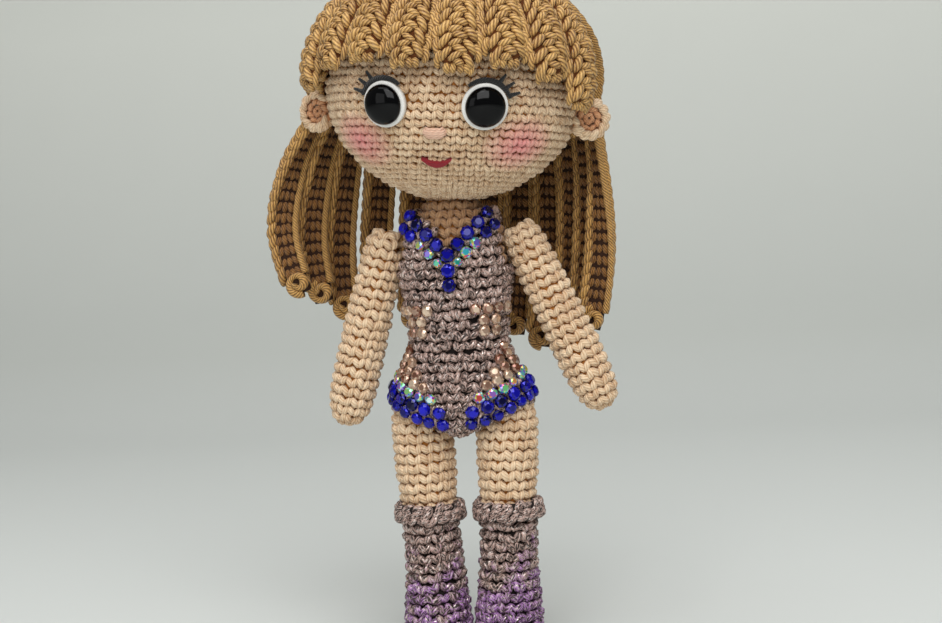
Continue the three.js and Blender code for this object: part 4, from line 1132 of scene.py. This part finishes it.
def put_on_face(mesh, x, z, material_key, slot_name, node):
    """Moves a mesh built round the origin, with +Y into the head, to a place on the face, and settles it."""
    place, out = head_front(x, z)
    across = (-out).cross(UP).normalized()
    turn = Matrix((across, -out, across.cross(-out))).transposed().to_4x4()
    mesh.transform(Matrix.Translation(place) @ turn)
    return settle_head(add_object(mesh.name, mesh, material_key), slot_name, node)


def make_face():
    """The eyes, their felt and lashes, the nose and the mouth."""
    for name, side in SIDES.items():
        spot = (side * EYE_SPACING / 2, -EYE_DROP)
        dome = ring_mesh(f"eye_dome_{name}", EYE_PROFILE)
        felt = ring_mesh(f"eye_backing_{name}", FELT_PROFILE)
        lashes = tube_mesh(f"lash_threads_{name}", lash_runs(side), 7)
        put_on_face(dome, *spot, "eye", "eye_black", f"eye_{name}")
        put_on_face(felt, *spot, "white_felt", "white_felt", f"eye_felt_{name}")
        put_on_face(lashes, *spot, "black_thread", "black_thread", f"lashes_{name}")
    nose = tube_mesh("nose_threads", nose_runs(), 7)
    put_on_face(nose, 0, -NOSE_DROP, "nose", "nose_thread", "nose_stitch")
    rings = []
    for i in range(MOUTH_STEPS + 1):
        along = i / MOUTH_STEPS * 2 - 1
        bow = 1 - along ** 2
        rings.append([(along * MOUTH_HALF, y * MM, -drop * MM * bow) for y, drop in MOUTH_SECTION])
    felt = loft("mouth_felt", rings, smooth=False)
    mouth = put_on_face(felt, 0, -MOUTH_DROP, "lip", "red_felt", "mouth")
    bevel = mouth.modifiers.new("Soft edge", "BEVEL")
    bevel.width = MOUTH_EDGE
    bevel.segments = 2


def lash_runs(side):
    """A lash line over the eye with three short lashes at its outer end."""

    def ray(degrees):
        return Vector((side * cos(radians(degrees)), 0, sin(radians(degrees))))

    runs = [[(ray(20 + 7 * i) * LASH_RADIUS + FRONT * 0.75 * MM,
              LASH_THICK * (0.55 + 0.45 * sin(pi * (i + 1) / 18))) for i in range(17)]]
    for degrees in LASH_ANGLES:
        root = ray(degrees) * LASH_RADIUS + FRONT * 0.7 * MM
        tip = root + ray(degrees - 8) * LASH_LENGTH
        runs.append([(root.lerp(tip, i / 4), 0.75 * MM * (1 - 0.12 * i)) for i in range(5)])
    return runs


def nose_runs():
    """Five satin threads side by side over a small pad."""
    runs = []
    for i in range(-2, 3):
        share = sqrt(1 - (i / 3) ** 2)
        points = [Vector((NOSE_HALF * share * x, y if y > 0 else 1.15 * share * y, i * NOSE_PITCH)) * MM
                  for x, y in [(-1, 0.7), (-0.72, -0.75), (0, -1), (0.72, -0.75), (1, 0.7)]]
        runs.append(arc_run(points, 0.5 * MM, 13, 0.8))
    return runs


def make_ears():
    """Each ear is a cup worked in rings round its middle."""
    for name, side in SIDES.items():
        rng = rng_of(f"ear {name}")
        centre = HEAD + EAR_PLACE * Vector((side, 1, 1))
        out = Vector((sin(side * EAR_TURN), -cos(EAR_TURN), 0))
        across = Vector((cos(EAR_TURN), sin(side * EAR_TURN), 0))
        rim, inside = [], []
        for index, (radius, lift, size, lean, pitch) in enumerate(EAR_RINGS):
            for ray in rays_round(radius, pitch, across, UP, index * 0.4, 4):
                facing = (out * cos(lean) + ray * sin(lean)).normalized()
                place = centre + (ray * radius + out * lift) * MM
                along = Matrix.Rotation(EAR_TWIST, 3, facing) @ (ray * cos(lean) - out * sin(lean))
                grown = Vector((size, size * 0.9, size))
                row = (place - facing * 0.3 * MM, facing, along, grown, rng.random())
                if not in_head(place):
                    (rim if index > 1 else inside).append(row)
        for radius in EAR_BACK_RINGS:
            for ray in rays_round(radius, EAR_BACK_PITCH, across, UP):
                place = centre + ray * radius - out * EAR_BACK_DEPTH
                if not in_head(place):
                    along = ray.cross(-out).normalized()
                    rim.append((place, -out, along, Vector(EAR_BACK_SIZE), rng.random()))
        fabric(f"ear_fabric_{name}", f"ear_{name}", 0.5 * MM, "inner_ear", "skin_yarn", roughen=0)
        settle_head(crochet(f"ear_rim_{name}", rim, lobe(), "skin", 0, 0.12, 0.05), "skin_yarn")
        settle_head(crochet(f"ear_inside_{name}", inside, lobe(), "inner_ear", 0), "skin_yarn")


# Hair

CROWN_ANGLE = 24
CROWN_HALF = 1.2 * MM
HAIR_DROP = 80 * MM
HAIR_BULGE = 11 * MM

# Locks of the fringe: turn from the front and angle from the crown to the tip, in degrees
LOCKS = [(-65, 92), (-46.5, 83), (-28, 80), (-9.5, 82), (9.5, 84), (28, 81), (46.5, 86), (65, 97)]
LOCK_HALF_WIDTH = 6.4 * MM
LOCK_HALF_THICK = 2.5 * MM
LOCK_PITCH = 3.9 * MM
LOCK_LEAST = 0.62
LOCK_BACK_SIZE = (2.4, 1, 0.7)
LOCK_TIP_SIZE = (1.0, 0.8, 1.1)

# Stops of a lock: share of its length, of its half width and of its half thickness
LOCK_STOPS = [(0, 0.4, 1), (0.5, 0.86, 1), (0.75, 1, 1), (0.93, 0.92, 1), (1, 0.5, 0.5)]

# Loops in one row of a lock: shares across and of the row, height, lean, tilt, length and radius
LOCK_ROW = [(-0.98, 0.3, -0.1, -1.4, 0.2, 1.25, 1.0), (-0.6, 0.0, 0.6, -0.4, 0.62, 1.3, 1.2),
            (-0.1, 0.15, 0.84, 0.0, 1.2, 1.15, 1.02), (0.1, 0.62, 0.84, 0.05, -1.15, 1.15, 1.02),
            (0.6, 0.45, 0.6, 0.45, -0.62, 1.3, 1.2), (0.98, 0.8, -0.1, 1.4, -0.2, 1.25, 1.0)]

# Long strands: turns at the root and where they hang, in degrees, and shares of the drop and the bulge
STRANDS = [(84, 114, 0.92, 0.4), (102, 125, 0.97, 0.4), (119, 135, 1.04, 0.36), (136, 147, 1.02, 0.32),
           (153, 160, 0.98, 0.3), (171, 173, 0.95, 0.27), (189, 187, 0.93, 0.27), (207, 202, 0.96, 0.32),
           (224, 217, 0.95, 0.45), (241, 231, 0.92, 0.68), (258, 242, 0.86, 0.95), (276, 253, 0.82, 1.3)]
STRAND_HALF_WIDTH = 3.8 * MM
STRAND_HALF_THICK = 2.2 * MM

# Where a strand lies on the head: degrees down from the crown and share of the turn from root to hang
STRAND_ROOT = [(24, 0), (42, 0.12), (60, 0.4), (78, 0.8), (94, 1)]

# Where it falls free: share of the drop and of the bulge
STRAND_FALL = [(0.35, 0.75), (0.65, 1), (0.9, 0.7), (1, 0.45)]

# Stops of a strand: share of its length, of its half width and the point whose way out it takes
STRAND_STOPS = [(0, 0.62, 0), (0.24, 1.18, 2), (0.36, 0.98, 3), (0.58, 1, 4), (0.8, 1, None), (0.96, 1, None),
                (1, 0.9, None)]

BACK_STRANDS = range(3, 9)
BACK_FULLNESS = 1.22
SIDE_FULLNESS = 1.14
CORD_STEP = 0.55 * MM
CORD_RADIUS = 1.08 * MM
SCROLL_ROOM = 5.5 * MM
SCROLL_CENTRE = 3.2 * MM
SCROLL_RADIUS = 1.4 * MM

# Rungs of a strand: share of the half width and tilt
RUNGS = [(-0.44, 0.35), (-0.02, 0.05), (0.4, -0.3)]
SCROLL_STEPS = 45
CORE_SECTION = [(1, 0), (0.7, -0.8), (-0.7, -0.8), (-1, 0), (-0.7, 0.8), (0.7, 0.8)]
CURVE_MARKS = 60

Spot = namedtuple("Spot", "place tangent across out half_width half_thick")


def aside(spot, width, thick):
    """A place beside a spot of a strip: shares of its half width and its half thickness."""
    return spot.place + spot.across * width * spot.half_width + spot.out * thick * spot.half_thick


class Strip:
    """A flat strip along a path, as the CAD source builds it.

    Its stops are (share, half width, half thickness, way out).
    """

    def __init__(self, points, stops):
        self.points = points
        self.stops = stops
        self.lengths = running_lengths([curve_point(points, i / CURVE_MARKS) for i in range(CURVE_MARKS + 1)])
        self.length = self.lengths[-1]

    def at(self, distance):
        """The spot at a distance along the strip."""
        share = sum(find_distance(self.lengths, min(max(distance, 0), self.length))) / CURVE_MARKS
        tangent = (curve_point(self.points, min(share + 0.004, 1)) -
                   curve_point(self.points, max(share - 0.004, 0))).normalized()
        i = 1
        while i < len(self.stops) - 1 and self.stops[i][0] < share:
            i += 1
        low, high = self.stops[i - 1], self.stops[i]
        part = min(max((share - low[0]) / (high[0] - low[0]), 0), 1)
        across = tangent.cross(low[3].lerp(high[3], part).normalized()).normalized()
        return Spot(curve_point(self.points, share), tangent, across, across.cross(tangent).normalized(),
                    low[1] + (high[1] - low[1]) * part, low[2] + (high[2] - low[2]) * part)


def hair_place(turn, down, over):
    """A place over the head: degrees from the front, degrees down from the crown, a height over the ball."""
    turn, down = radians(turn), radians(down)
    ray = Vector((sin(turn) * sin(down), -cos(turn) * sin(down), cos(down)))
    return HEAD + ray * (HEAD_HALF + Vector((over, over, over)))


def lock_strip(turn, end):
    points = []
    for i in range(5):
        half = CROWN_HALF + (LOCK_HALF_THICK - CROWN_HALF) * min(i / 2, 1)
        points.append(hair_place(turn, CROWN_ANGLE + (end - CROWN_ANGLE) * i / 4, OVER_CAP + half))
    stops = []
    for share, width, thick in LOCK_STOPS:
        half = LOCK_HALF_THICK * thick if share else CROWN_HALF
        stops.append((share, LOCK_HALF_WIDTH * width, half, head_out(points[round(share * 4)] - HEAD)))
    return Strip(points, stops)


def strand_strip(index):
    root, hang, drop, bulge = STRANDS[index]
    points = []
    for i, (down, share) in enumerate(STRAND_ROOT):
        half = CROWN_HALF + (STRAND_HALF_THICK - CROWN_HALF) * min(i / 2, 1)
        points.append(hair_place(root + (hang - root) * share, down, OVER_CAP + half))
    leave = points[-1].z
    tip = HEAD.z - HAIR_DROP * drop
    for down, spread in STRAND_FALL:
        place = hair_place(hang, 90, OVER_CAP + STRAND_HALF_THICK + HAIR_BULGE * bulge * spread)
        place.z = leave + (tip - leave) * down
        points.append(place)
    fullness = BACK_FULLNESS if index in BACK_STRANDS else SIDE_FULLNESS
    stops = []
    for share, width, point in STRAND_STOPS:
        half = STRAND_HALF_THICK if share else CROWN_HALF
        out = -FRONT if point is None else head_out(points[point] - HEAD)
        stops.append((share, STRAND_HALF_WIDTH * width * fullness, half, out))
    return Strip(points, stops)


def strip_core(name, strip, thin, narrow, steps, key):
    """The dark middle of a strip."""
    spots = [strip.at(strip.length * i / steps) for i in range(steps + 1)]
    rings = [[aside(spot, width * narrow, thick * thin) for width, thick in CORE_SECTION] for spot in spots]
    return add_object(name, loft(name, rings, capped=True), key)


def strip_stitch(spot, width, lift, lean, size, tint, tilt=0.0):
    """One stitch on a strip: its shares of the half width and half thickness, its lean and its tilt."""
    facing = spot.out * cos(lean) + spot.across * sin(lean)
    along = spot.across * cos(lean) - spot.out * sin(lean)
    return aside(spot, width, lift), facing, Matrix.Rotation(tilt, 3, facing) @ along, Vector(size), tint


def join_pieces(name, objects):
    """One mesh from several, kept with their materials."""
    bpy.ops.object.select_all(action="DESELECT")
    for obj in objects:
        obj.select_set(True)
    bpy.context.view_layer.objects.active = objects[0]
    bpy.ops.object.join()
    objects[0].name = objects[0].data.name = name
    return objects[0]


def make_fringe():
    """Each lock is a thick strip: chunky loops down its sides and pairs of level loops between them."""
    for index, (turn, end) in enumerate(LOCKS):
        rng = rng_of(f"lock {index}")
        strip = lock_strip(turn, end)
        rows = round(strip.length / LOCK_PITCH)
        pitch = strip.length / rows
        mirror = -1 if index % 3 == 1 else 1
        found = []
        for row in range(rows):
            for across, step, lift, lean, tilt, length, radius in LOCK_ROW:
                spot = strip.at((row + step) * pitch)
                fit = max(LOCK_LEAST, min(spot.half_width / LOCK_HALF_WIDTH, 1))
                size = (radius * fit, length * pitch / LOBE_LENGTH, radius)
                if abs(tilt) > 0.8:
                    size = (radius * pitch / LOCK_PITCH, length * fit, radius)
                found.append(strip_stitch(spot, across * mirror, lift, lean * mirror, size, rng.random(),
                                          tilt * mirror + rng.uniform(-0.2, 0.2)))
            back = strip.at((row + 0.5) * pitch)
            found.append(strip_stitch(back, 0, -0.7, pi, LOCK_BACK_SIZE, rng.random()))
        spot = strip.at(strip.length - 0.3 * MM)
        for across in (-0.8, -0.3, 0.3, 0.8):
            found.append(strip_stitch(spot, across, 0.2 - abs(across) * 0.2, across * 0.6, LOCK_TIP_SIZE,
                                      rng.random(), -across * 0.5))
        number = index + 1
        loops = crochet(f"lock_stitches_{number}", found, lobe(), "hair", index, 0.12, 0.08)
        middle = strip_core(f"lock_core_{number}", strip, 0.74, 0.86, 18, "hair_core")
        joined = join_pieces(f"lock_yarn_{number}", [loops, middle])
        settle_head(joined, "hair_yarn", f"fringe_lock_{number}")


def make_strands():
    """Each strand has a chained edge, a twisted edge, rungs between them and a scroll at its end."""
    for index in range(len(STRANDS)):
        rng = rng_of(f"strand {index}")
        strip = strand_strip(index)
        body = strip.length - SCROLL_ROOM
        rows = round(body / sizes().hair_pitch)
        pitch = body / rows
        found, rungs = [], []
        for row in range(rows):
            spot = strip.at((row + 0.5) * pitch)
            narrow = min(spot.half_width / STRAND_HALF_WIDTH, 1.3)
            thick = min(spot.half_thick / STRAND_HALF_THICK, 1)
            edge = (1.05 * narrow, pitch / LOBE_LENGTH * 1.5, 1.15 * thick)
            rung = (0.78 * narrow, pitch / LOBE_LENGTH * 0.9, 0.85)
            for side, lean in ((1, 0), (-1, pi)):
                found.append(strip_stitch(spot, -0.92, 0.3 * side, lean - 0.5 * side, edge, rng.random(),
                                          0.34 * side))
                for across, tilt in RUNGS:
                    rungs.append(strip_stitch(spot, across, 0.22 * side, lean, rung, rng.random(),
                                              tilt * side))
        number = index + 1
        node = f"hair_strand_{number:02d}"
        # The chain and the cords take the hair yarn darkened as painted shade, the rungs one darker still
        chain = crochet(f"strand_stitches_{number}", found, lobe(), "strand", index, 0.09, 0.06)
        inner = crochet(f"strand_rungs_{number}", rungs, lobe(), "hair_rungs_painted_shade", index, 0.12, 0.1)
        runs = cord_runs(strip, body, pitch) + scroll_runs(strip.at(strip.length), 1 if index % 2 else -1)
        cords = add_object(node + "_cords", tube_mesh(node + "_cords", runs, 10), "strand")
        tint = cords.data.attributes.new("tint", "FLOAT", "POINT")
        tint.data.foreach_set("value", [0.5] * len(cords.data.vertices))
        middle = strip_core(node + "_core", strip, 0.5, 0.8, 30, "hair_dark")
        joined = join_pieces(f"strand_yarn_{number:02d}", [chain, inner, cords, middle])
        settle_head(joined, "hair_yarn", node)


def cord_runs(strip, body, pitch):
    """The two cords of a strand's twisted edge, which swell once in each stitch."""
    steps = int(body / CORD_STEP)
    runs = []
    for lift in (0.3, -0.3):
        run = []
        for i in range(steps + 1):
            distance = body * i / steps
            ripple = 0.84 + 0.28 * abs(sin(pi * distance / pitch))
            run.append((aside(strip.at(distance), 0.86, lift), CORD_RADIUS * ripple))
        runs.append(run)
    return runs


def scroll_runs(spot, flip):
    """The scroll at a strand's end, once on its front and once on its back."""
    centre = spot.place - spot.tangent * SCROLL_CENTRE
    runs = [[], []]
    for i in range(SCROLL_STEPS + 1):
        share = i / SCROLL_STEPS
        turn = TURN * (0.25 + 1.3 * share) * flip
        ray = (spot.across * cos(turn) + spot.tangent * sin(turn)) * (3.6 - 2.6 * share) * MM
        lift = spot.out * (0.3 + 1.3 * share) * MM
        radius = SCROLL_RADIUS * (0.8 + 0.2 * sin(share * 13) + 0.12 * sin(pi * share))
        for run, side in zip(runs, (-1, 1)):
            run.append((centre + ray + lift * side, radius))
    return runs


# Stones

STONE_SIDES = 8

# Rings of a stone: radius, height and turn in sides
STONE_RINGS = [(0.9, -0.3, 0), (1, 0, 0), (1, 0.14, 0), (0.8, 0.46, 0.5), (0.5, 0.66, 0)]
STONE_LIFT = 1.1 * MM
STONE_SPACING = 1.96
LINE_MARKS = 300
CLOTH_START = 60 * MM
CLOTH_REACH = 100 * MM
CLOTH_PROBE = 1.2 * MM
NECK_HALF = 11 * MM
NECK_TOP = 139.5 * MM
NECK_POINT = 126.5 * MM
HIP_REACH = 11.1 * MM
HIP_EDGE = 69.5 * MM
HIP_SLOPE = 9.5 / 22.5
WAIST_HALF = 7 * MM
WAIST_HEIGHT = 108.55 * MM

# Rows of the waist: start and length in steps
WAIST_ROWS = [(0, 2), (0.5, 1), (0.5, 1)]

# Copper rows over a leg opening, the lowest first: first and last turn from the front
COPPER_HIP_ROWS = [(-18, 62), (-10, 36), (-4, 24), (4, 14)]


@cache
def cut_stone():
    """A cut stone of radius and height 1: a table, two tiers of facets and a flat foot."""
    work = bmesh.new()
    rows = [[work.verts.new((cos(TURN * (k + offset) / STONE_SIDES) * radius,
                             sin(TURN * (k + offset) / STONE_SIDES) * radius, height))
             for k in range(STONE_SIDES)] for radius, height, offset in STONE_RINGS]
    work.faces.new(reversed(rows[0]))
    work.faces.new(rows[-1])
    offsets = [ring[2] for ring in STONE_RINGS]
    for low, high, offset, after in zip(rows, rows[1:], offsets, offsets[1:]):
        for k in range(STONE_SIDES):
            right = (k + 1) % STONE_SIDES
            a, b, c, d = low[k], low[right], high[right], high[k]
            if offset == after:
                facets = [(a, b, c, d)]
            elif offset < after:
                facets = [(a, b, d), (b, c, d)]
            else:
                facets = [(a, c, d), (a, b, c)]
            for facet in facets:
                work.faces.new(facet)
    bmesh.ops.recalc_face_normals(work, faces=work.faces)
    mesh = mesh_from("cut_stone", work, smooth=False)
    layer = mesh.uv_layers.new(name="UVMap")
    rng = random.Random(3)
    for face in mesh.polygons:
        shade = rng.random()
        for corner in face.loop_indices:
            layer.data[corner].uv = (shade, 0.5)
    return bpy.data.objects.new("cut_stone", mesh)


def cloth_spot(origin, towards):
    """The place where a ray meets the leotard and the mean way out of it there, or None."""
    hits = []
    sideways = towards.cross(UP)
    for step in (Vector(), UP, -UP, sideways, -sideways):
        start = origin - towards * CLOTH_START + step * CLOTH_PROBE
        place, normal, *_ = shell("leotard").tree.ray_cast(start, towards, CLOTH_REACH)
        if place is not None:
            hits.append((place, normal if normal.dot(towards) < 0 else -normal))
        elif not hits:
            return None
    return hits[0][0], sum((normal for _, normal in hits), Vector()).normalized()


def add_stones(name, rows, key, slot_name, nodes=(), spread=0.06):
    """Stones along rows of (line, radius), each lying on the cloth, with a spread of sizes."""
    rng = rng_of(name)
    found = []
    for line, radius in rows:
        last = None
        for i in range(LINE_MARKS + 1):
            spot = line(i / LINE_MARKS)
            if spot is None or last is not None and (spot[0] - last).length < radius * STONE_SPACING:
                continue
            last, out = spot
            turned = Matrix.Rotation(rng.random() * TURN, 3, out) @ out.orthogonal().normalized()
            size = Vector((radius, radius, radius * 0.95)) * (1 - spread * rng.random())
            found.append((last + out * STONE_LIFT, out, turned, size, rng.random()))
    settle(crochet(name, found, cut_stone(), key, 0, 0.07, 0.0), "torso", slot_name, *nodes)


def front_spot(x, z):
    return cloth_spot(MIDDLE + Vector((x, 0, z)), -FRONT)


def neck_line(side, first, last, right=0.0, down=0.0):
    """A line along one side of the neckline, between two shares of it, and so far beside and below it."""
    edge = sizes().blue_radius * 0.6

    def line(share):
        along = first + (last - first) * share
        return front_spot(side * ((NECK_HALF + edge) * along + right),
                          NECK_POINT + (NECK_TOP - NECK_POINT) * along - edge - down)

    return line


def hip_line(side, first, last, rise):
    """A line over one leg opening, between two turns from the front, and so far above it."""
    centre = side * LEG_SPREAD_HIGH

    def line(share):
        turn = radians(first + (last - first) * share)
        towards = Vector((side * sin(turn), -cos(turn), 0))
        height = HIP_EDGE + abs(centre + towards.x * HIP_REACH) * HIP_SLOPE + rise
        return cloth_spot(MIDDLE + Vector((centre, 0, height)), -towards)

    return line


def waist_line(side, row, step):
    start, length = WAIST_ROWS[row]

    def line(share):
        return front_spot(side * (WAIST_HALF + (start + share * (length + 0.1)) * step),
                          WAIST_HEIGHT - row * step * 0.8)

    return line


def make_stones():
    """Rows of stones along the neckline and the leg openings, and a patch on each side of the waist."""
    s = sizes()
    blue, shimmer, copper = s.blue_radius, s.shimmer_radius, s.copper_radius
    drop = (blue + shimmer) * 0.8
    blue_rows, shimmer_rows, copper_rows, waist_rows = [], [], [], []
    for side in (1, -1):
        blue_rows += [(neck_line(side, 0, 1), blue),
                      (neck_line(side, 0.7, 0.94, blue * 1.1, blue * 1.25), blue * 0.9),
                      (hip_line(side, -36, 205, blue * 0.6), blue * 0.9),
                      (hip_line(side, -31, 110, blue * 2.1), blue)]
        rise = blue * 2.1 + drop
        shimmer_rows += [(neck_line(side, 0.1, 0.7, drop / 2, drop), shimmer),
                         (hip_line(side, -24, 84, rise), shimmer)]
        rise += (shimmer + copper) * 0.75
        copper_rows += [(hip_line(side, *ends, rise + copper * 1.6 * i), copper)
                        for i, ends in enumerate(COPPER_HIP_ROWS)]
        waist_rows += [(waist_line(side, row, 2.2 * copper), copper) for row in range(len(WAIST_ROWS))]
    blue_rows.append((lambda share: front_spot(0, NECK_POINT - blue * (0.6 + share * 4.2)), blue))
    trims = ["neckline_stones", "hip_stones_left", "hip_stones_right"]
    add_stones("blue_stones", blue_rows, "blue", "blue_stone", trims)
    add_stones("shimmer_stones", shimmer_rows, "shimmer", "blue_stone", spread=0.25)
    add_stones("copper_stones", copper_rows, "copper", "copper_stone")
    add_stones("waist_copper_stones", waist_rows, "copper", "copper_stone",
               ["waist_stones_left", "waist_stones_right"])


def make_fittings():
    """Hidden pieces that stay as they are, with a finish of their own."""
    finishes = {"neck_rod": "wood"}
    for name in SIDES:
        for node, key in (("insole", "insole"), ("eye_washer", "washer"), ("shoulder_thread", "thread")):
            finishes[f"{node}_{name}"] = key
    for node, key in finishes.items():
        mesh = frame["nodes"][node].data
        mesh.materials.clear()
        mesh.materials.append(material(key))


# Stage

PICTURE = (942, 623)
SENSOR = 36
FOCAL_PIXELS = 1931
CAMERA_DISTANCE = 600 * MM
CAMERA_TURN = radians(9)
CAMERA_RISE = radians(3.6)
CAMERA_ROLL = radians(-3.2)
TARGET = Vector((4.1 * MM, 0, 107 * MM))
LIGHT_TARGET = Vector((0, 0, 120 * MM))
SKY_COLOUR = 0xE4E7E6
SKY_STRENGTH = 0.19

# Lights: name, place, power and size
LIGHTS = [("key", (0.2, -0.8, 0.85), 9.9, 0.9), ("fill", (-0.7, -0.9, 0.4), 1.4, 0.7),
          ("top", (-0.05, -0.1, 1.1), 4.9, 0.9)]

FLOOR_HALF = 3.0
FLOOR_DEPTH = 0.9
FLOOR_BEND = 0.35
BEND_STEPS = 12
FLOOR_DROP = 0.2 * MM


def aim(obj, place, towards, roll=0.0):
    """Adds a camera or a lamp at a place, looking along a direction."""
    bpy.context.scene.collection.objects.link(obj)
    obj.location = place
    obj.rotation_mode = "QUATERNION"
    obj.rotation_quaternion = towards.to_track_quat("-Z", "Y") @ Matrix.Rotation(roll, 4, "Z").to_quaternion()


def make_stage():
    """A pale floor that bends up into a wall, the camera and soft lights."""
    scene = bpy.context.scene
    turns = [pi / 2 * i / BEND_STEPS for i in range(BEND_STEPS + 1)]
    bend = [(FLOOR_DEPTH - FLOOR_BEND * (1 - sin(turn)), FLOOR_BEND * (1 - cos(turn))) for turn in turns]
    profile = [(-FLOOR_HALF, 0.0), *bend, (FLOOR_DEPTH, FLOOR_HALF)]
    places = [(x, y, z - FLOOR_DROP) for y, z in profile for x in (-FLOOR_HALF, FLOOR_HALF)]
    mesh = bpy.data.meshes.new("backdrop")
    mesh.from_pydata(places, [], [(i, i + 1, i + 3, i + 2) for i in range(0, len(places) - 2, 2)])
    mesh.shade_smooth()
    # Painted light on the backdrop paper: colours of the floor, the foot of the wall and the wall higher up
    mesh.materials.append(stage_surface("backdrop_paper", 0xD9DCD9, 0xD2D5D0, 0xE8EAE3))
    add_object("backdrop", mesh)

    camera = bpy.data.objects.new("camera", bpy.data.cameras.new("camera"))
    level = cos(CAMERA_RISE)
    back = Vector((sin(CAMERA_TURN) * level, -cos(CAMERA_TURN) * level, sin(CAMERA_RISE)))
    aim(camera, MIDDLE + TARGET + back * CAMERA_DISTANCE, -back, CAMERA_ROLL)
    camera.data.sensor_width = SENSOR
    camera.data.lens = SENSOR * FOCAL_PIXELS / PICTURE[0]
    camera.data.clip_start, camera.data.clip_end = 0.01, 20
    scene.camera = camera

    for name, place, power, size in LIGHTS:
        light = bpy.data.lights.new(name, "AREA")
        light.energy = power
        light.size = size
        aim(bpy.data.objects.new(name, light), place, LIGHT_TARGET - Vector(place))
    scene.world = bpy.data.worlds.new("world")
    scene.world.use_nodes = True
    sky = scene.world.node_tree.nodes["Background"].inputs
    sky["Color"].default_value = (*linear(SKY_COLOUR), 1)
    sky["Strength"].default_value = SKY_STRENGTH
    scene.view_settings.view_transform = "Standard"
    scene.render.resolution_x, scene.render.resolution_y = PICTURE


# Operators


def piece_operator(key, label, text, maker):
    """An operator class that makes one piece or one group of like pieces."""

    def execute(self, context):
        maker()
        return {"FINISHED"}

    return type(f"DOLL_OT_{key}", (bpy.types.Operator,), {
        "__doc__": text, "bl_idname": f"doll.{key}", "bl_label": label, "bl_options": {"REGISTER", "UNDO"},
        "execute": execute})


OPERATORS = [piece_operator(*row) for row in [
    ("stage", "Stage", "Adds the backdrop, the camera and the lights", make_stage),
    ("body", "Body", "Makes the crocheted body cover and its stuffing", make_body),
    ("leotard", "Leotard", "Makes the crocheted leotard", make_leotard),
    ("legs", "Legs", "Makes both legs", make_legs),
    ("boots", "Boots", "Makes both boots and their rolled cuffs", make_boots),
    ("arms", "Arms", "Makes both arms", make_arms),
    ("head", "Head", "Makes the crocheted head", make_head),
    ("face", "Face", "Makes the eyes, the felt behind them, the lashes, the nose and the mouth", make_face),
    ("ears", "Ears", "Makes both ears", make_ears),
    ("cap", "Wig cap", "Makes the crocheted wig cap", make_cap),
    ("fringe", "Fringe", "Makes the locks of the fringe", make_fringe),
    ("strands", "Strands", "Makes the long strands of hair", make_strands),
    ("stones", "Stones", "Sets the cut stones on the leotard", make_stones),
    ("fittings", "Fittings", "Finishes the hidden fittings", make_fittings),
]]


class DOLL_PT_panel(bpy.types.Panel):
    """The doll's sizes, colours and pieces."""

    bl_idname = "DOLL_PT_panel"
    bl_label = "Amigurumi Doll"
    bl_space_type = "VIEW_3D"
    bl_region_type = "UI"
    bl_category = "Doll"

    def draw(self, context):
        for group in (context.scene.doll_sizes, context.scene.doll_colours):
            box = self.layout.box()
            for key in group.__annotations__:
                box.prop(group, key)
        for operator in OPERATORS:
            self.layout.operator(operator.bl_idname)


CLASSES = [DollSizes, DollColours, *OPERATORS, DOLL_PT_panel]


def register():
    for cls in CLASSES:
        bpy.utils.register_class(cls)
    bpy.types.Scene.doll_sizes = PointerProperty(type=DollSizes)
    bpy.types.Scene.doll_colours = PointerProperty(type=DollColours)


def unregister():
    del bpy.types.Scene.doll_colours
    del bpy.types.Scene.doll_sizes
    for cls in reversed(CLASSES):
        bpy.utils.unregister_class(cls)


def main():
    register()
    for operator in OPERATORS:
        getattr(bpy.ops.doll, operator.bl_idname.split(".")[1])()


if __name__ == "__main__":
    main()
